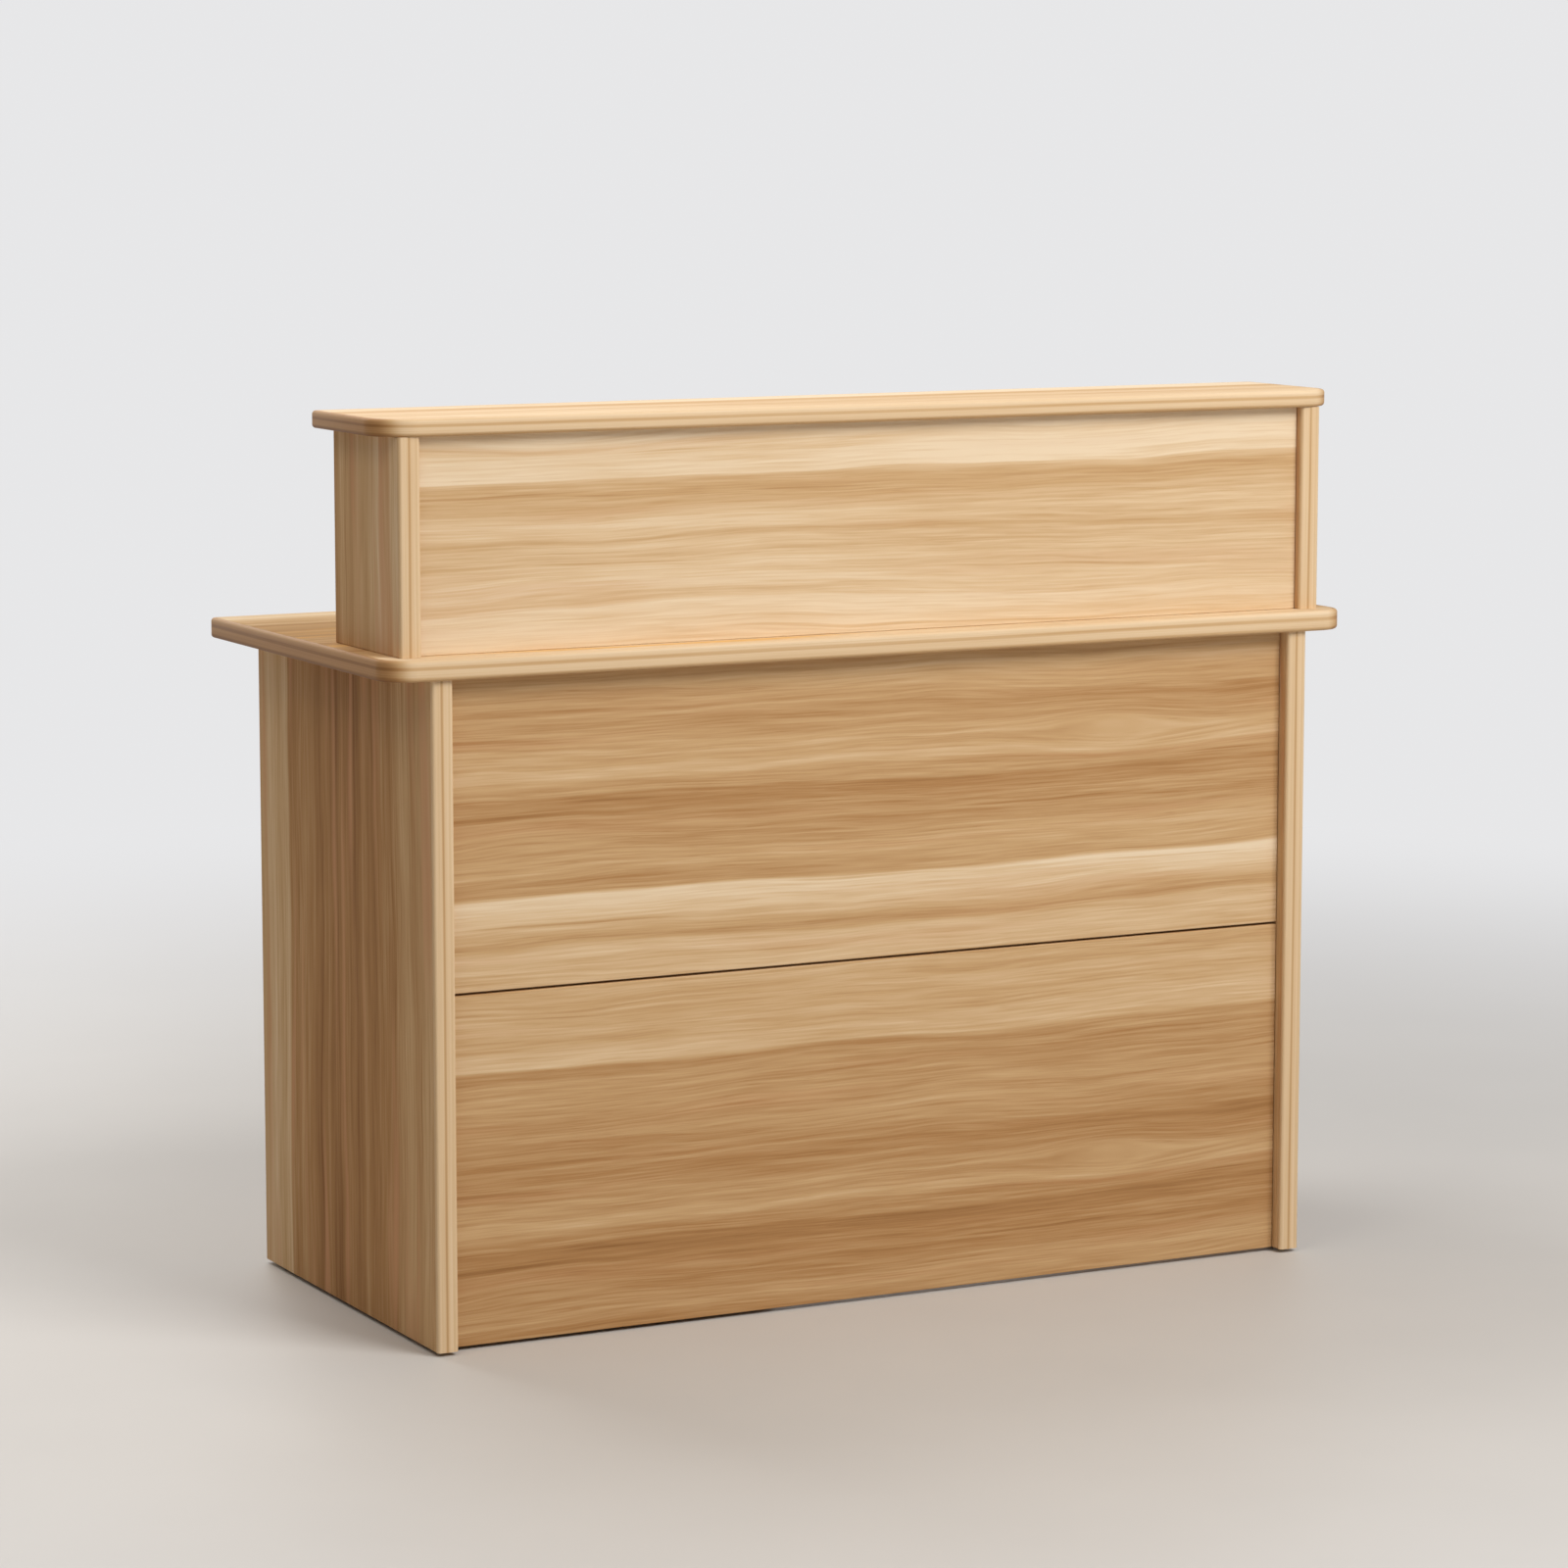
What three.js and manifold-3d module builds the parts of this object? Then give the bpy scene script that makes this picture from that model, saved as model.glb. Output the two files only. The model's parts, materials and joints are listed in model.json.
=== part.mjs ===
// Reception desk: a two-tier counter of laminated boards. The customer's front faces -Y, the staff side +Y,
// +Z is up, and the origin is on the floor under the middle of the desk top. Millimetres.
import * as THREE from "three";
import { mergeVertices } from "three/addons/utils/BufferGeometryUtils.js";
import Module from "manifold-3d";

const wasm = await Module();
wasm.setup();

// Driving dimensions: tops
const DESK_WIDTH = 1200;
const DESK_DEPTH = 520;
const DESK_HEIGHT = 753;
const DESK_THICKNESS = 23;
const DESK_CORNER = 35;
const COUNTER_SIDE_INSET = 3;
const COUNTER_WIDTH = DESK_WIDTH - 2 * COUNTER_SIDE_INSET;
const COUNTER_DEPTH = 192;
const COUNTER_HEIGHT = 1005;
const COUNTER_THICKNESS = 19;
const COUNTER_CORNER = 45;
const REAR_CORNER = 6;
const CORNER_STEPS = 5;

// Driving dimensions: boards and their edges
const BOARD = 16;
const SIDE_BOARD = 25;
const LIPPING = 5;
const ARRIS = 4;
const ARRIS_STEPS = 3;
const BROKEN_EDGE = 0.8;
const FIT = 0.3;
const OVERSHOOT = 1;
const ROUND_SIDES = 24;
const SMALL_ROUND_SIDES = 16;

// Driving dimensions: base
const DESK_SIDE_OVERHANG = 53;
const BASE_WIDTH = DESK_WIDTH - 2 * DESK_SIDE_OVERHANG;
const BASE_DEPTH = 500;
const BASE_SETBACK = 7;
const FRONT_RECESS = 17;
const SEAM_HEIGHT = 389;
const SEAM_GAP = 2.5;
const BATTEN_HEIGHT = 60;
const GLIDE_HEIGHT = 4;
const GLIDE_DIAMETER = 15;
const GLIDE_CHAMFER = 1;
const GLIDE_INSET = 45;

// Driving dimensions: hutch
const HUTCH_SIDE_INSET = 26;
const HUTCH_WIDTH = DESK_WIDTH - 2 * HUTCH_SIDE_INSET;
const HUTCH_DEPTH = 180;
const HUTCH_SETBACK = 26;
const HUTCH_RECESS = 10.5;
const COUNTER_OVERHANG = 4;

// Driving dimensions: pedestal
const PEDESTAL_WIDTH = 380;
const STAFF_RECESS = 18;
const FRONT_GAP = 3;
const PLINTH_HEIGHT = 60;
const PLINTH_RECESS = 35;
const SHELF_HEIGHT = 310;
const SHELF_REAR_GAP = 30;
const PIN_DIAMETER = 5;
const PIN_DEPTH = 9;
const PIN_REACH = 8;
const PIN_INSET = 45;
const PIN_PITCH = 32;
const PIN_HOLES_EACH_WAY = 3;
const PIN_SIDES = 8;
const PIN_COLLAR = 1.5;
const PIN_COLLAR_DIAMETER = 8;

// Driving dimensions: drawer and its lock
const DRAWER_FRONT_HEIGHT = 140;
const DRAWER_BOARD = 12;
const DRAWER_SIDE_HEIGHT = 100;
const DRAWER_LIFT = 8;
const DRAWER_BOTTOM = 5;
const DRAWER_BOTTOM_LIFT = 10;
const GROOVE_DEPTH = 6;
const LOCK_DROP = 26;
const LOCK_BARREL_DIAMETER = 19;
const LOCK_FLANGE_DIAMETER = 24;
const LOCK_FLANGE = 1.6;
const LOCK_PLUG_DIAMETER = 13;
const LOCK_TAIL = 6;
const LOCK_STUB = 7;
const KEYWAY_WIDTH = 2;
const KEYWAY_HEIGHT = 8;
const KEYWAY_DEPTH = 8;
const CAM_LENGTH = 23;
const CAM_RADIUS = 8;
const CAM_TIP_RADIUS = 5;
const CAM_THICKNESS = 2;
const STRIKE_WIDTH = 36;
const STRIKE_LEG = 12;
const STRIKE_FOOT = 14;
const STRIKE_GAUGE = 1.5;
const STRIKE_PLAY = 0.5;

// Driving dimensions: runners
const RUNNER_WIDTH = 12.7;
const RUNNER_HEIGHT = 45;
const RUNNER_GAUGE = 1.2;
const RUNNER_PLAY = 0.5;
const RUNNER_LIP = 3;
const RUNNER_LENGTH_STEP = 50;
const DRAWER_REAR_ROOM = 20;
const TRAY_REAR_ROOM = 80;

// Driving dimensions: keyboard tray
const TRAY_DROP = 90;
const FASCIA_HEIGHT = 48;
const FASCIA_RISE = 14;

// Driving dimensions: door hardware and handles
const HINGE_HEIGHT = 50;
const HINGE_INSET = 70;
const KNUCKLE_RADIUS = 3.2;
const KNUCKLES = 5;
const HINGE_PIN_RADIUS = 1.3;
const LEAF_GAUGE = 1;
const LEAF_MARGIN = 2;
const CATCH_WIDTH = 46;
const CATCH_DEPTH = 16;
const CATCH_HEIGHT = 14;
const CATCH_EAR_WIDTH = 9;
const CATCH_EAR_GAUGE = 3;
const CATCH_INSET = 30;
const CATCH_PLATE_HEIGHT = 12;
const CATCH_PLATE_GAUGE = 1.2;
const CATCH_PLATE_CORNER = 2;
const HANDLE_CENTRES = 96;
const HANDLE_RISE = 20;
const HANDLE_WIDTH = 11;
const HANDLE_GAUGE = 7;
const HANDLE_STEPS = 24;
const DOOR_HANDLE_INSET = 38;
const DOOR_HANDLE_DROP = 110;

// Levels and planes that follow from the driving dimensions
const deskUnder = DESK_HEIGHT - DESK_THICKNESS;
const counterUnder = COUNTER_HEIGHT - COUNTER_THICKNESS;
const deskFront = -DESK_DEPTH / 2;
const baseFront = deskFront + BASE_SETBACK;
const baseRear = baseFront + BASE_DEPTH;
const sideOuter = BASE_WIDTH / 2;
const sideInner = sideOuter - SIDE_BOARD;
const panelFace = baseFront + FRONT_RECESS;
const panelBack = panelFace + BOARD;
const staffFace = baseRear - STAFF_RECESS;
const staffBack = staffFace - BOARD;
const hutchFront = deskFront + HUTCH_SETBACK;
const hutchRear = hutchFront + HUTCH_DEPTH;
const partitionLeft = -sideInner + PEDESTAL_WIDTH;
const partitionRight = partitionLeft + BOARD;
const floorBoardTop = GLIDE_HEIGHT + PLINTH_HEIGHT + BOARD;
const drawerFrontTop = deskUnder - FRONT_GAP;
const drawerFrontUnder = drawerFrontTop - DRAWER_FRONT_HEIGHT;
const dividerTop = drawerFrontUnder - FRONT_GAP;
const dividerUnder = dividerTop - BOARD;

// Runners come in steps of length, and the longest that leaves the room behind it is used.
function runnerLength(rearRoom) {
  return Math.floor((staffBack - panelBack - rearRoom) / RUNNER_LENGTH_STEP) * RUNNER_LENGTH_STEP;
}

// Finishes
const LAMINATE = { color: 0xc9a878, roughness: 0.5, metalness: 0 };
const LIPPING_FINISH = { color: 0xd9c19a, roughness: 0.45, metalness: 0 };
const HARDBOARD = { color: 0xb08a5e, roughness: 0.7, metalness: 0 };
const ZINC = { color: 0xb4b8bc, roughness: 0.35, metalness: 1 };
const NICKEL = { color: 0xa9a7a2, roughness: 0.3, metalness: 1 };
const BLACK_PLASTIC = { color: 0x1b1b1c, roughness: 0.6, metalness: 0 };
const WHITE_PLASTIC = { color: 0xe6e4df, roughness: 0.5, metalness: 0 };

// Adds a named piece, with a material of its own, at a place in its group.
function add(group, name, geometry, finish, place = [0, 0, 0]) {
  const piece = new THREE.Mesh(geometry, new THREE.MeshStandardMaterial(finish));
  piece.name = name;
  piece.position.set(...place);
  group.add(piece);
}

function middle([from, to]) {
  return (from + to) / 2;
}

function solid(geometry) {
  const bare = geometry.index ? geometry.toNonIndexed() : geometry.clone();
  bare.deleteAttribute("normal");
  bare.deleteAttribute("uv");
  const merged = mergeVertices(bare, 1e-4);
  const mesh = new wasm.Mesh({
    numProp: 3,
    vertProperties: merged.attributes.position.array,
    triVerts: new Uint32Array(merged.index.array),
  });
  return new wasm.Manifold(mesh);
}

function geometryOf(made) {
  const mesh = made.getMesh();
  const geometry = new THREE.BufferGeometry();
  geometry.setAttribute("position", new THREE.BufferAttribute(mesh.vertProperties, 3));
  geometry.setIndex(new THREE.BufferAttribute(mesh.triVerts, 1));
  geometry.computeVertexNormals();
  return geometry;
}

function cut(geometry, cutters) {
  return geometryOf(cutters.reduce((left, cutter) => left.subtract(solid(cutter)), solid(geometry)));
}

function join(geometries) {
  return geometryOf(geometries.map(solid).reduce((all, one) => all.add(one)));
}

function polygon(points) {
  return new THREE.Shape(points.map(([x, y]) => new THREE.Vector2(x, y)));
}

// Pushes a profile drawn in X and Z out along Y, between two planes.
function alongY(profile, [from, to]) {
  const options = { depth: to - from, bevelEnabled: false, curveSegments: CORNER_STEPS };
  const geometry = new THREE.ExtrudeGeometry(profile, options);
  return geometry.rotateX(Math.PI / 2).translate(0, to, 0);
}

// A box between two corners, for cutting and joining.
function block([x, y, z]) {
  const geometry = new THREE.BoxGeometry(x[1] - x[0], y[1] - y[0], z[1] - z[0]);
  return geometry.translate(middle(x), middle(y), middle(z));
}

function rod(radius, [from, to], sides, axis) {
  const geometry = new THREE.CylinderGeometry(radius, radius, to - from, sides);
  geometry.translate(0, middle([from, to]), 0);
  if (axis === "x") geometry.rotateZ(-Math.PI / 2);
  if (axis === "z") geometry.rotateX(Math.PI / 2);
  return geometry;
}

// Turns a profile of radius and height round the Y axis.
function lathe(profile, sides) {
  return new THREE.LatheGeometry(profile.map(([radius, y]) => new THREE.Vector2(radius, y)), sides);
}

// A flat board with broken edges, about its own middle. Its outline lies in its plane and is pushed out
// through its thinnest direction. It fills the given spans, less half the fit on every side.
function boardGeometry(spans) {
  const size = spans.map(([from, to]) => to - from - FIT);
  const thin = size.indexOf(Math.min(...size));
  const [across, up] = size.filter((_, axis) => axis !== thin).map((length) => length / 2);
  const depth = size[thin] - 2 * BROKEN_EDGE;
  const outline = polygon([[-across, -up], [across, -up], [across, up], [-across, up]]);
  const geometry = new THREE.ExtrudeGeometry(outline, {
    depth,
    bevelThickness: BROKEN_EDGE,
    bevelSize: BROKEN_EDGE,
    bevelOffset: -BROKEN_EDGE,
    bevelSegments: 1,
  });
  geometry.translate(0, 0, -depth / 2);
  if (thin < 2) geometry.rotateX(Math.PI / 2);
  if (thin === 0) geometry.rotateZ(Math.PI / 2);
  return geometry;
}

function addBoard(group, name, x, y, z, finish = LAMINATE, cutters = []) {
  const place = [x, y, z].map(middle);
  let geometry = boardGeometry([x, y, z]);
  if (cutters.length) {
    const back = place.map((value) => -value);
    geometry = cut(geometry, cutters.map((cutter) => cutter.clone().translate(...back)));
  }
  add(group, name, geometry, finish, place);
}

// The outline of a top, drawn in by an inset: round front corners and small round rear corners.
function topOutline({ width, front, rear, corner }, inset) {
  const x = width / 2 - inset;
  const near = front + inset;
  const far = rear - inset;
  const big = Math.max(corner - inset, BROKEN_EDGE / 2);
  const small = Math.max(REAR_CORNER - inset, BROKEN_EDGE / 2);
  const corners = [
    [x - big, near + big, big],
    [x - small, far - small, small],
    [-x + small, far - small, small],
    [-x + big, near + big, big],
  ];
  return corners.flatMap(([centreX, centreY, radius], turn) =>
    Array.from({ length: CORNER_STEPS + 1 }, (_, step) => {
      const angle = (turn - 1 + step / CORNER_STEPS) * (Math.PI / 2);
      return [centreX + radius * Math.cos(angle), centreY + radius * Math.sin(angle)];
    }),
  );
}

// A closed skin over rings of equal length, joined each to the next and the last to the first.
function loftedLoop(rings) {
  const count = rings[0].length;
  const index = [];
  rings.forEach((_, r) => {
    const next = (r + 1) % rings.length;
    for (let p = 0; p < count; p++) {
      const q = (p + 1) % count;
      index.push(r * count + p, r * count + q, next * count + q);
      index.push(r * count + p, next * count + q, next * count + p);
    }
  });
  const geometry = new THREE.BufferGeometry().setFromPoints(rings.flat());
  geometry.setIndex(index);
  geometry.computeVertexNormals();
  return geometry;
}

// A top: a core board, and a lipping with rounded arrises that runs all round it.
function addTop(group, name, top, [under, surface]) {
  const core = polygon(topOutline(top, LIPPING + FIT));
  const coreGeometry = new THREE.ExtrudeGeometry(core, { depth: surface - under, bevelEnabled: false });
  add(group, name, coreGeometry, LAMINATE, [0, 0, under]);

  const lower = Array.from({ length: ARRIS_STEPS + 1 }, (_, step) => {
    const angle = (step / ARRIS_STEPS) * (Math.PI / 2);
    return [ARRIS * (1 - Math.sin(angle)), under + ARRIS * (1 - Math.cos(angle))];
  });
  const upper = lower.map(([inset, level]) => [inset, under + surface - level]).reverse();
  const profile = [[LIPPING, under], ...lower, ...upper, [LIPPING, surface]];
  const rings = profile.map(([inset, level]) =>
    topOutline(top, inset).map(([x, y]) => new THREE.Vector3(x, y, level)),
  );
  add(group, `${name}_lipping`, loftedLoop(rings), LIPPING_FINISH);
}

// The lipping on the front edge of an upright panel: flat behind, with both arrises rounded.
function uprightLipping(thickness) {
  const half = (thickness - FIT) / 2;
  const flat = LIPPING - FIT / 2;
  const plan = new THREE.Shape();
  plan.moveTo(-half, flat);
  plan.lineTo(-half, ARRIS);
  plan.absarc(-half + ARRIS, ARRIS, ARRIS, Math.PI, Math.PI * 1.5);
  plan.lineTo(half - ARRIS, 0);
  plan.absarc(half - ARRIS, ARRIS, ARRIS, -Math.PI / 2, 0);
  plan.lineTo(half, flat);
  return plan;
}

// An upright side panel, with its lipping on the customer's edge.
function addUpright(group, name, x, [front, rear], [low, high], cutters = []) {
  addBoard(group, `${name}_panel`, x, [front + LIPPING, rear], [low, high], LAMINATE, cutters);
  const plan = uprightLipping(x[1] - x[0]);
  const options = { depth: high - low - FIT, bevelEnabled: false, curveSegments: ARRIS_STEPS };
  const lipping = new THREE.ExtrudeGeometry(plan, options);
  add(group, `${name}_lipping`, lipping, LIPPING_FINISH, [middle(x), front, low + FIT / 2]);
}

function mirrored([from, to]) {
  return [-to, -from];
}

// Base: sides, front panels, partition and glides. The shelf's rows of holes leave it clear of the batten.
const battenY = [panelBack, panelBack + BOARD];
const shelfPinLevel = SHELF_HEIGHT - PIN_DIAMETER / 2 - FIT / 2;
const shelfY = [battenY[1], staffBack - SHELF_REAR_GAP];
const pinRows = [shelfY[0] + PIN_INSET, shelfY[1] - PIN_INSET];

// The rows of shelf pin holes, drilled into a face that looks along X in the given direction.
function pinHoles(face, inwards) {
  const drill = rod(PIN_DIAMETER / 2 + FIT / 2, [-PIN_DEPTH, PIN_DEPTH], PIN_SIDES, "x");
  const holes = [];
  for (const y of pinRows) {
    for (let row = -PIN_HOLES_EACH_WAY; row <= PIN_HOLES_EACH_WAY; row++) {
      const bite = drill.clone().translate(face + (inwards * FIT) / 2, y, shelfPinLevel + row * PIN_PITCH);
      holes.push(bite);
    }
  }
  return holes;
}

function glide() {
  const radius = GLIDE_DIAMETER / 2;
  const profile = [
    [0, 0],
    [radius - GLIDE_CHAMFER, 0],
    [radius, GLIDE_CHAMFER],
    [radius, GLIDE_HEIGHT - FIT / 2],
    [0, GLIDE_HEIGHT - FIT / 2],
  ];
  return lathe(profile, SMALL_ROUND_SIDES).rotateX(Math.PI / 2);
}

function buildBase(group) {
  const rightSpan = [sideInner, sideOuter];
  const upright = [GLIDE_HEIGHT, deskUnder];
  const depth = [baseFront, baseRear];
  addUpright(group, "left_side", mirrored(rightSpan), depth, upright, pinHoles(-sideInner, -1));
  addUpright(group, "right_side", rightSpan, depth, upright);

  const between = [-sideInner, sideInner];
  const panelY = [panelFace, panelBack];
  addBoard(group, "lower_front_panel", between, panelY, [GLIDE_HEIGHT, SEAM_HEIGHT - SEAM_GAP / 2]);
  addBoard(group, "upper_front_panel", between, panelY, [SEAM_HEIGHT + SEAM_GAP / 2, deskUnder]);

  // The batten backs the seam right across, and the partition is notched over it.
  const battenZ = [SEAM_HEIGHT - BATTEN_HEIGHT / 2, SEAM_HEIGHT + BATTEN_HEIGHT / 2];
  addBoard(group, "seam_batten", between, battenY, battenZ);
  const partitionX = [partitionLeft, partitionRight];
  const notch = block([
    [partitionLeft - OVERSHOOT, partitionRight + OVERSHOOT],
    [panelBack - OVERSHOOT, battenY[1] + FIT / 2],
    [battenZ[0] - FIT / 2, battenZ[1] + FIT / 2],
  ]);
  const partitionCuts = [...pinHoles(partitionLeft, 1), notch];
  addBoard(group, "partition_panel", partitionX, [panelBack, baseRear], upright, LAMINATE, partitionCuts);

  const sideMiddle = sideOuter - SIDE_BOARD / 2;
  const glides = {
    left_front: [-sideMiddle, baseFront + GLIDE_INSET],
    left_rear: [-sideMiddle, baseRear - GLIDE_INSET],
    right_front: [sideMiddle, baseFront + GLIDE_INSET],
    right_rear: [sideMiddle, baseRear - GLIDE_INSET],
    partition: [middle(partitionX), baseRear - GLIDE_INSET],
  };
  for (const [name, [x, y]] of Object.entries(glides)) {
    add(group, `glide_${name}`, glide(), BLACK_PLASTIC, [x, y, 0]);
  }
}

// Hutch: the raised counter on the desk top
function buildHutch(group) {
  const outer = HUTCH_WIDTH / 2;
  const rightSpan = [outer - SIDE_BOARD, outer];
  const upright = [DESK_HEIGHT, counterUnder];
  const depth = [hutchFront, hutchRear];
  addUpright(group, "hutch_left_side", mirrored(rightSpan), depth, upright);
  addUpright(group, "hutch_right_side", rightSpan, depth, upright);
  const panelFront = hutchFront + HUTCH_RECESS;
  const between = [-rightSpan[0], rightSpan[0]];
  addBoard(group, "hutch_front_panel", between, [panelFront, panelFront + BOARD], upright);
}

function buildTops(group) {
  const desk = { width: DESK_WIDTH, front: deskFront, rear: -deskFront, corner: DESK_CORNER };
  addTop(group, "desk_top", desk, [deskUnder, DESK_HEIGHT]);
  const counterFront = hutchFront - COUNTER_OVERHANG;
  const counter = {
    width: COUNTER_WIDTH,
    front: counterFront,
    rear: counterFront + COUNTER_DEPTH,
    corner: COUNTER_CORNER,
  };
  addTop(group, "counter_top", counter, [counterUnder, COUNTER_HEIGHT]);
}

// Pedestal: the boards round the drawer and the cupboard, and the shelf on its pins
function shelfPin() {
  const radius = PIN_DIAMETER / 2;
  const collar = PIN_COLLAR_DIAMETER / 2;
  const profile = [
    [0, -PIN_DEPTH + FIT],
    [radius, -PIN_DEPTH + FIT],
    [radius, 0],
    [collar, 0],
    [collar, PIN_COLLAR],
    [radius, PIN_COLLAR],
    [radius, PIN_REACH],
    [0, PIN_REACH],
  ];
  return lathe(profile, PIN_SIDES).rotateZ(-Math.PI / 2);
}

function buildPedestal(group) {
  const inside = [-sideInner, partitionLeft];
  const floorZ = [floorBoardTop - BOARD, floorBoardTop];
  const depth = [panelBack, staffFace];
  addBoard(group, "cupboard_floor", inside, depth, floorZ);
  addBoard(group, "drawer_divider", inside, depth, [dividerUnder, dividerTop]);
  const plinthY = [staffFace - PLINTH_RECESS - BOARD, staffFace - PLINTH_RECESS];
  addBoard(group, "cupboard_plinth", inside, plinthY, [GLIDE_HEIGHT, floorZ[0]]);

  const shelfX = [inside[0] + PIN_COLLAR + FIT, inside[1] - PIN_COLLAR - FIT];
  addBoard(group, "cupboard_shelf", shelfX, shelfY, [SHELF_HEIGHT, SHELF_HEIGHT + BOARD]);
  const ends = { front: pinRows[0], rear: pinRows[1] };
  for (const [end, y] of Object.entries(ends)) {
    add(group, `shelf_pin_left_${end}`, shelfPin(), ZINC, [inside[0], y, shelfPinLevel]);
    const turned = shelfPin().rotateZ(Math.PI);
    add(group, `shelf_pin_right_${end}`, turned, ZINC, [inside[1], y, shelfPinLevel]);
  }
}

// Runner sections, drawn in X and Z with the carcass face at X = 0 and the drawer on the +X side.
// A fixed or middle member is a channel whose flanges end in lips turned inwards.
function channelSection(back, mouth, halfHeight) {
  const half = [
    [back, halfHeight],
    [mouth, halfHeight],
    [mouth, halfHeight - RUNNER_GAUGE - RUNNER_LIP],
    [mouth - RUNNER_GAUGE, halfHeight - RUNNER_GAUGE - RUNNER_LIP],
    [mouth - RUNNER_GAUGE, halfHeight - RUNNER_GAUGE],
    [back + RUNNER_GAUGE, halfHeight - RUNNER_GAUGE],
  ];
  return polygon([...half, ...half.map(([x, z]) => [x, -z]).reverse()]);
}

// The sliding member is a hat: its brims run behind the lips of the member that holds it.
function hatSection(back, brimHalf, crownHalf) {
  const front = RUNNER_WIDTH - FIT / 2;
  const half = [
    [front, crownHalf],
    [back + RUNNER_GAUGE, crownHalf],
    [back + RUNNER_GAUGE, brimHalf],
    [back, brimHalf],
    [back, crownHalf - RUNNER_GAUGE],
    [front - RUNNER_GAUGE, crownHalf - RUNNER_GAUGE],
  ];
  return polygon([...half, ...half.map(([x, z]) => [x, -z]).reverse()]);
}

const runnerHalf = RUNNER_HEIGHT / 2;
const fixedMouth = RUNNER_WIDTH - 2 * RUNNER_GAUGE;
const middleHalf = runnerHalf - RUNNER_GAUGE - RUNNER_PLAY;
const middleBack = RUNNER_GAUGE + RUNNER_PLAY;
const middleMouth = fixedMouth - RUNNER_GAUGE - RUNNER_PLAY;
const fixedSection = channelSection(FIT / 2, fixedMouth, runnerHalf);
const middleSection = channelSection(middleBack, middleMouth, middleHalf);

function slidingSection(holderBack, holderHalf) {
  const back = holderBack + RUNNER_GAUGE + RUNNER_PLAY;
  const brimHalf = holderHalf - RUNNER_GAUGE - RUNNER_PLAY;
  return hatSection(back, brimHalf, brimHalf - RUNNER_LIP);
}

// Adds one member against a carcass face: hand is 1 where the drawer lies on the +X side of that face.
function addRunner(group, name, section, face, hand, [from, to], level) {
  const geometry = alongY(section, [-(to - from) / 2, (to - from) / 2]);
  if (hand < 0) geometry.rotateZ(Math.PI);
  add(group, name, geometry, ZINC, [face, middle([from, to]), level]);
}

// Drawer, its runners and its lock
const drawerY = [staffBack - runnerLength(DRAWER_REAR_ROOM), staffBack];
const drawerX = [-sideInner + RUNNER_WIDTH, partitionLeft - RUNNER_WIDTH];
const drawerUnder = drawerFrontUnder + DRAWER_LIFT;
const drawerSideTop = drawerUnder + DRAWER_SIDE_HEIGHT;
const drawerFloor = [drawerUnder + DRAWER_BOTTOM_LIFT, drawerUnder + DRAWER_BOTTOM_LIFT + DRAWER_BOTTOM];
const drawerMiddle = middle(drawerX);
const lockLevel = drawerFrontTop - LOCK_DROP;
const barrelEnd = staffBack - LOCK_TAIL;
const camY = [barrelEnd - FIT - CAM_THICKNESS, barrelEnd - FIT];

function drawerSide() {
  const half = (DRAWER_BOARD - FIT) / 2;
  const low = drawerUnder;
  const groove = [drawerFloor[0] - FIT / 2, drawerFloor[1] + FIT / 2];
  return polygon([
    [-half, low],
    [half, low],
    [half, groove[0]],
    [half - GROOVE_DEPTH, groove[0]],
    [half - GROOVE_DEPTH, groove[1]],
    [half, groove[1]],
    [half, drawerSideTop],
    [-half, drawerSideTop],
  ]);
}

function bowHandle() {
  const foot = HANDLE_CENTRES / 2;
  const pull = (HANDLE_RISE * 4) / 3;
  const path = new THREE.CubicBezierCurve3(
    new THREE.Vector3(-foot, 0, 0),
    new THREE.Vector3(-foot, pull, 0),
    new THREE.Vector3(foot, pull, 0),
    new THREE.Vector3(foot, 0, 0),
  );
  const section = new THREE.Shape();
  section.absellipse(0, 0, HANDLE_WIDTH / 2, HANDLE_GAUGE / 2, 0, Math.PI * 2);
  return new THREE.ExtrudeGeometry(section, {
    steps: HANDLE_STEPS,
    extrudePath: path,
    curveSegments: CORNER_STEPS,
  });
}

function lockBarrel() {
  const bore = LOCK_PLUG_DIAMETER / 2 + FIT;
  const body = LOCK_BARREL_DIAMETER / 2;
  const flange = LOCK_FLANGE_DIAMETER / 2;
  const seat = staffFace + FIT / 2;
  const profile = [
    [bore, barrelEnd],
    [body, barrelEnd],
    [body, seat],
    [flange, seat],
    [flange - LOCK_FLANGE / 2, seat + LOCK_FLANGE],
    [bore, seat + LOCK_FLANGE],
    [bore, barrelEnd],
  ];
  return lathe(profile, ROUND_SIDES);
}

function lockPlug() {
  const face = staffFace + LOCK_FLANGE;
  const body = rod(LOCK_PLUG_DIAMETER / 2, [barrelEnd, face], ROUND_SIDES, "y");
  const stub = [-LOCK_STUB / 2, LOCK_STUB / 2];
  const tail = block([stub, [camY[0] - FIT, barrelEnd + OVERSHOOT], stub]);
  const keyX = [-KEYWAY_WIDTH / 2, KEYWAY_WIDTH / 2];
  const keyZ = [-KEYWAY_HEIGHT / 2, KEYWAY_HEIGHT / 2];
  const keyway = block([keyX, [face - KEYWAY_DEPTH, face + OVERSHOOT], keyZ]);
  return cut(join([body, tail]), [keyway]);
}

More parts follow.
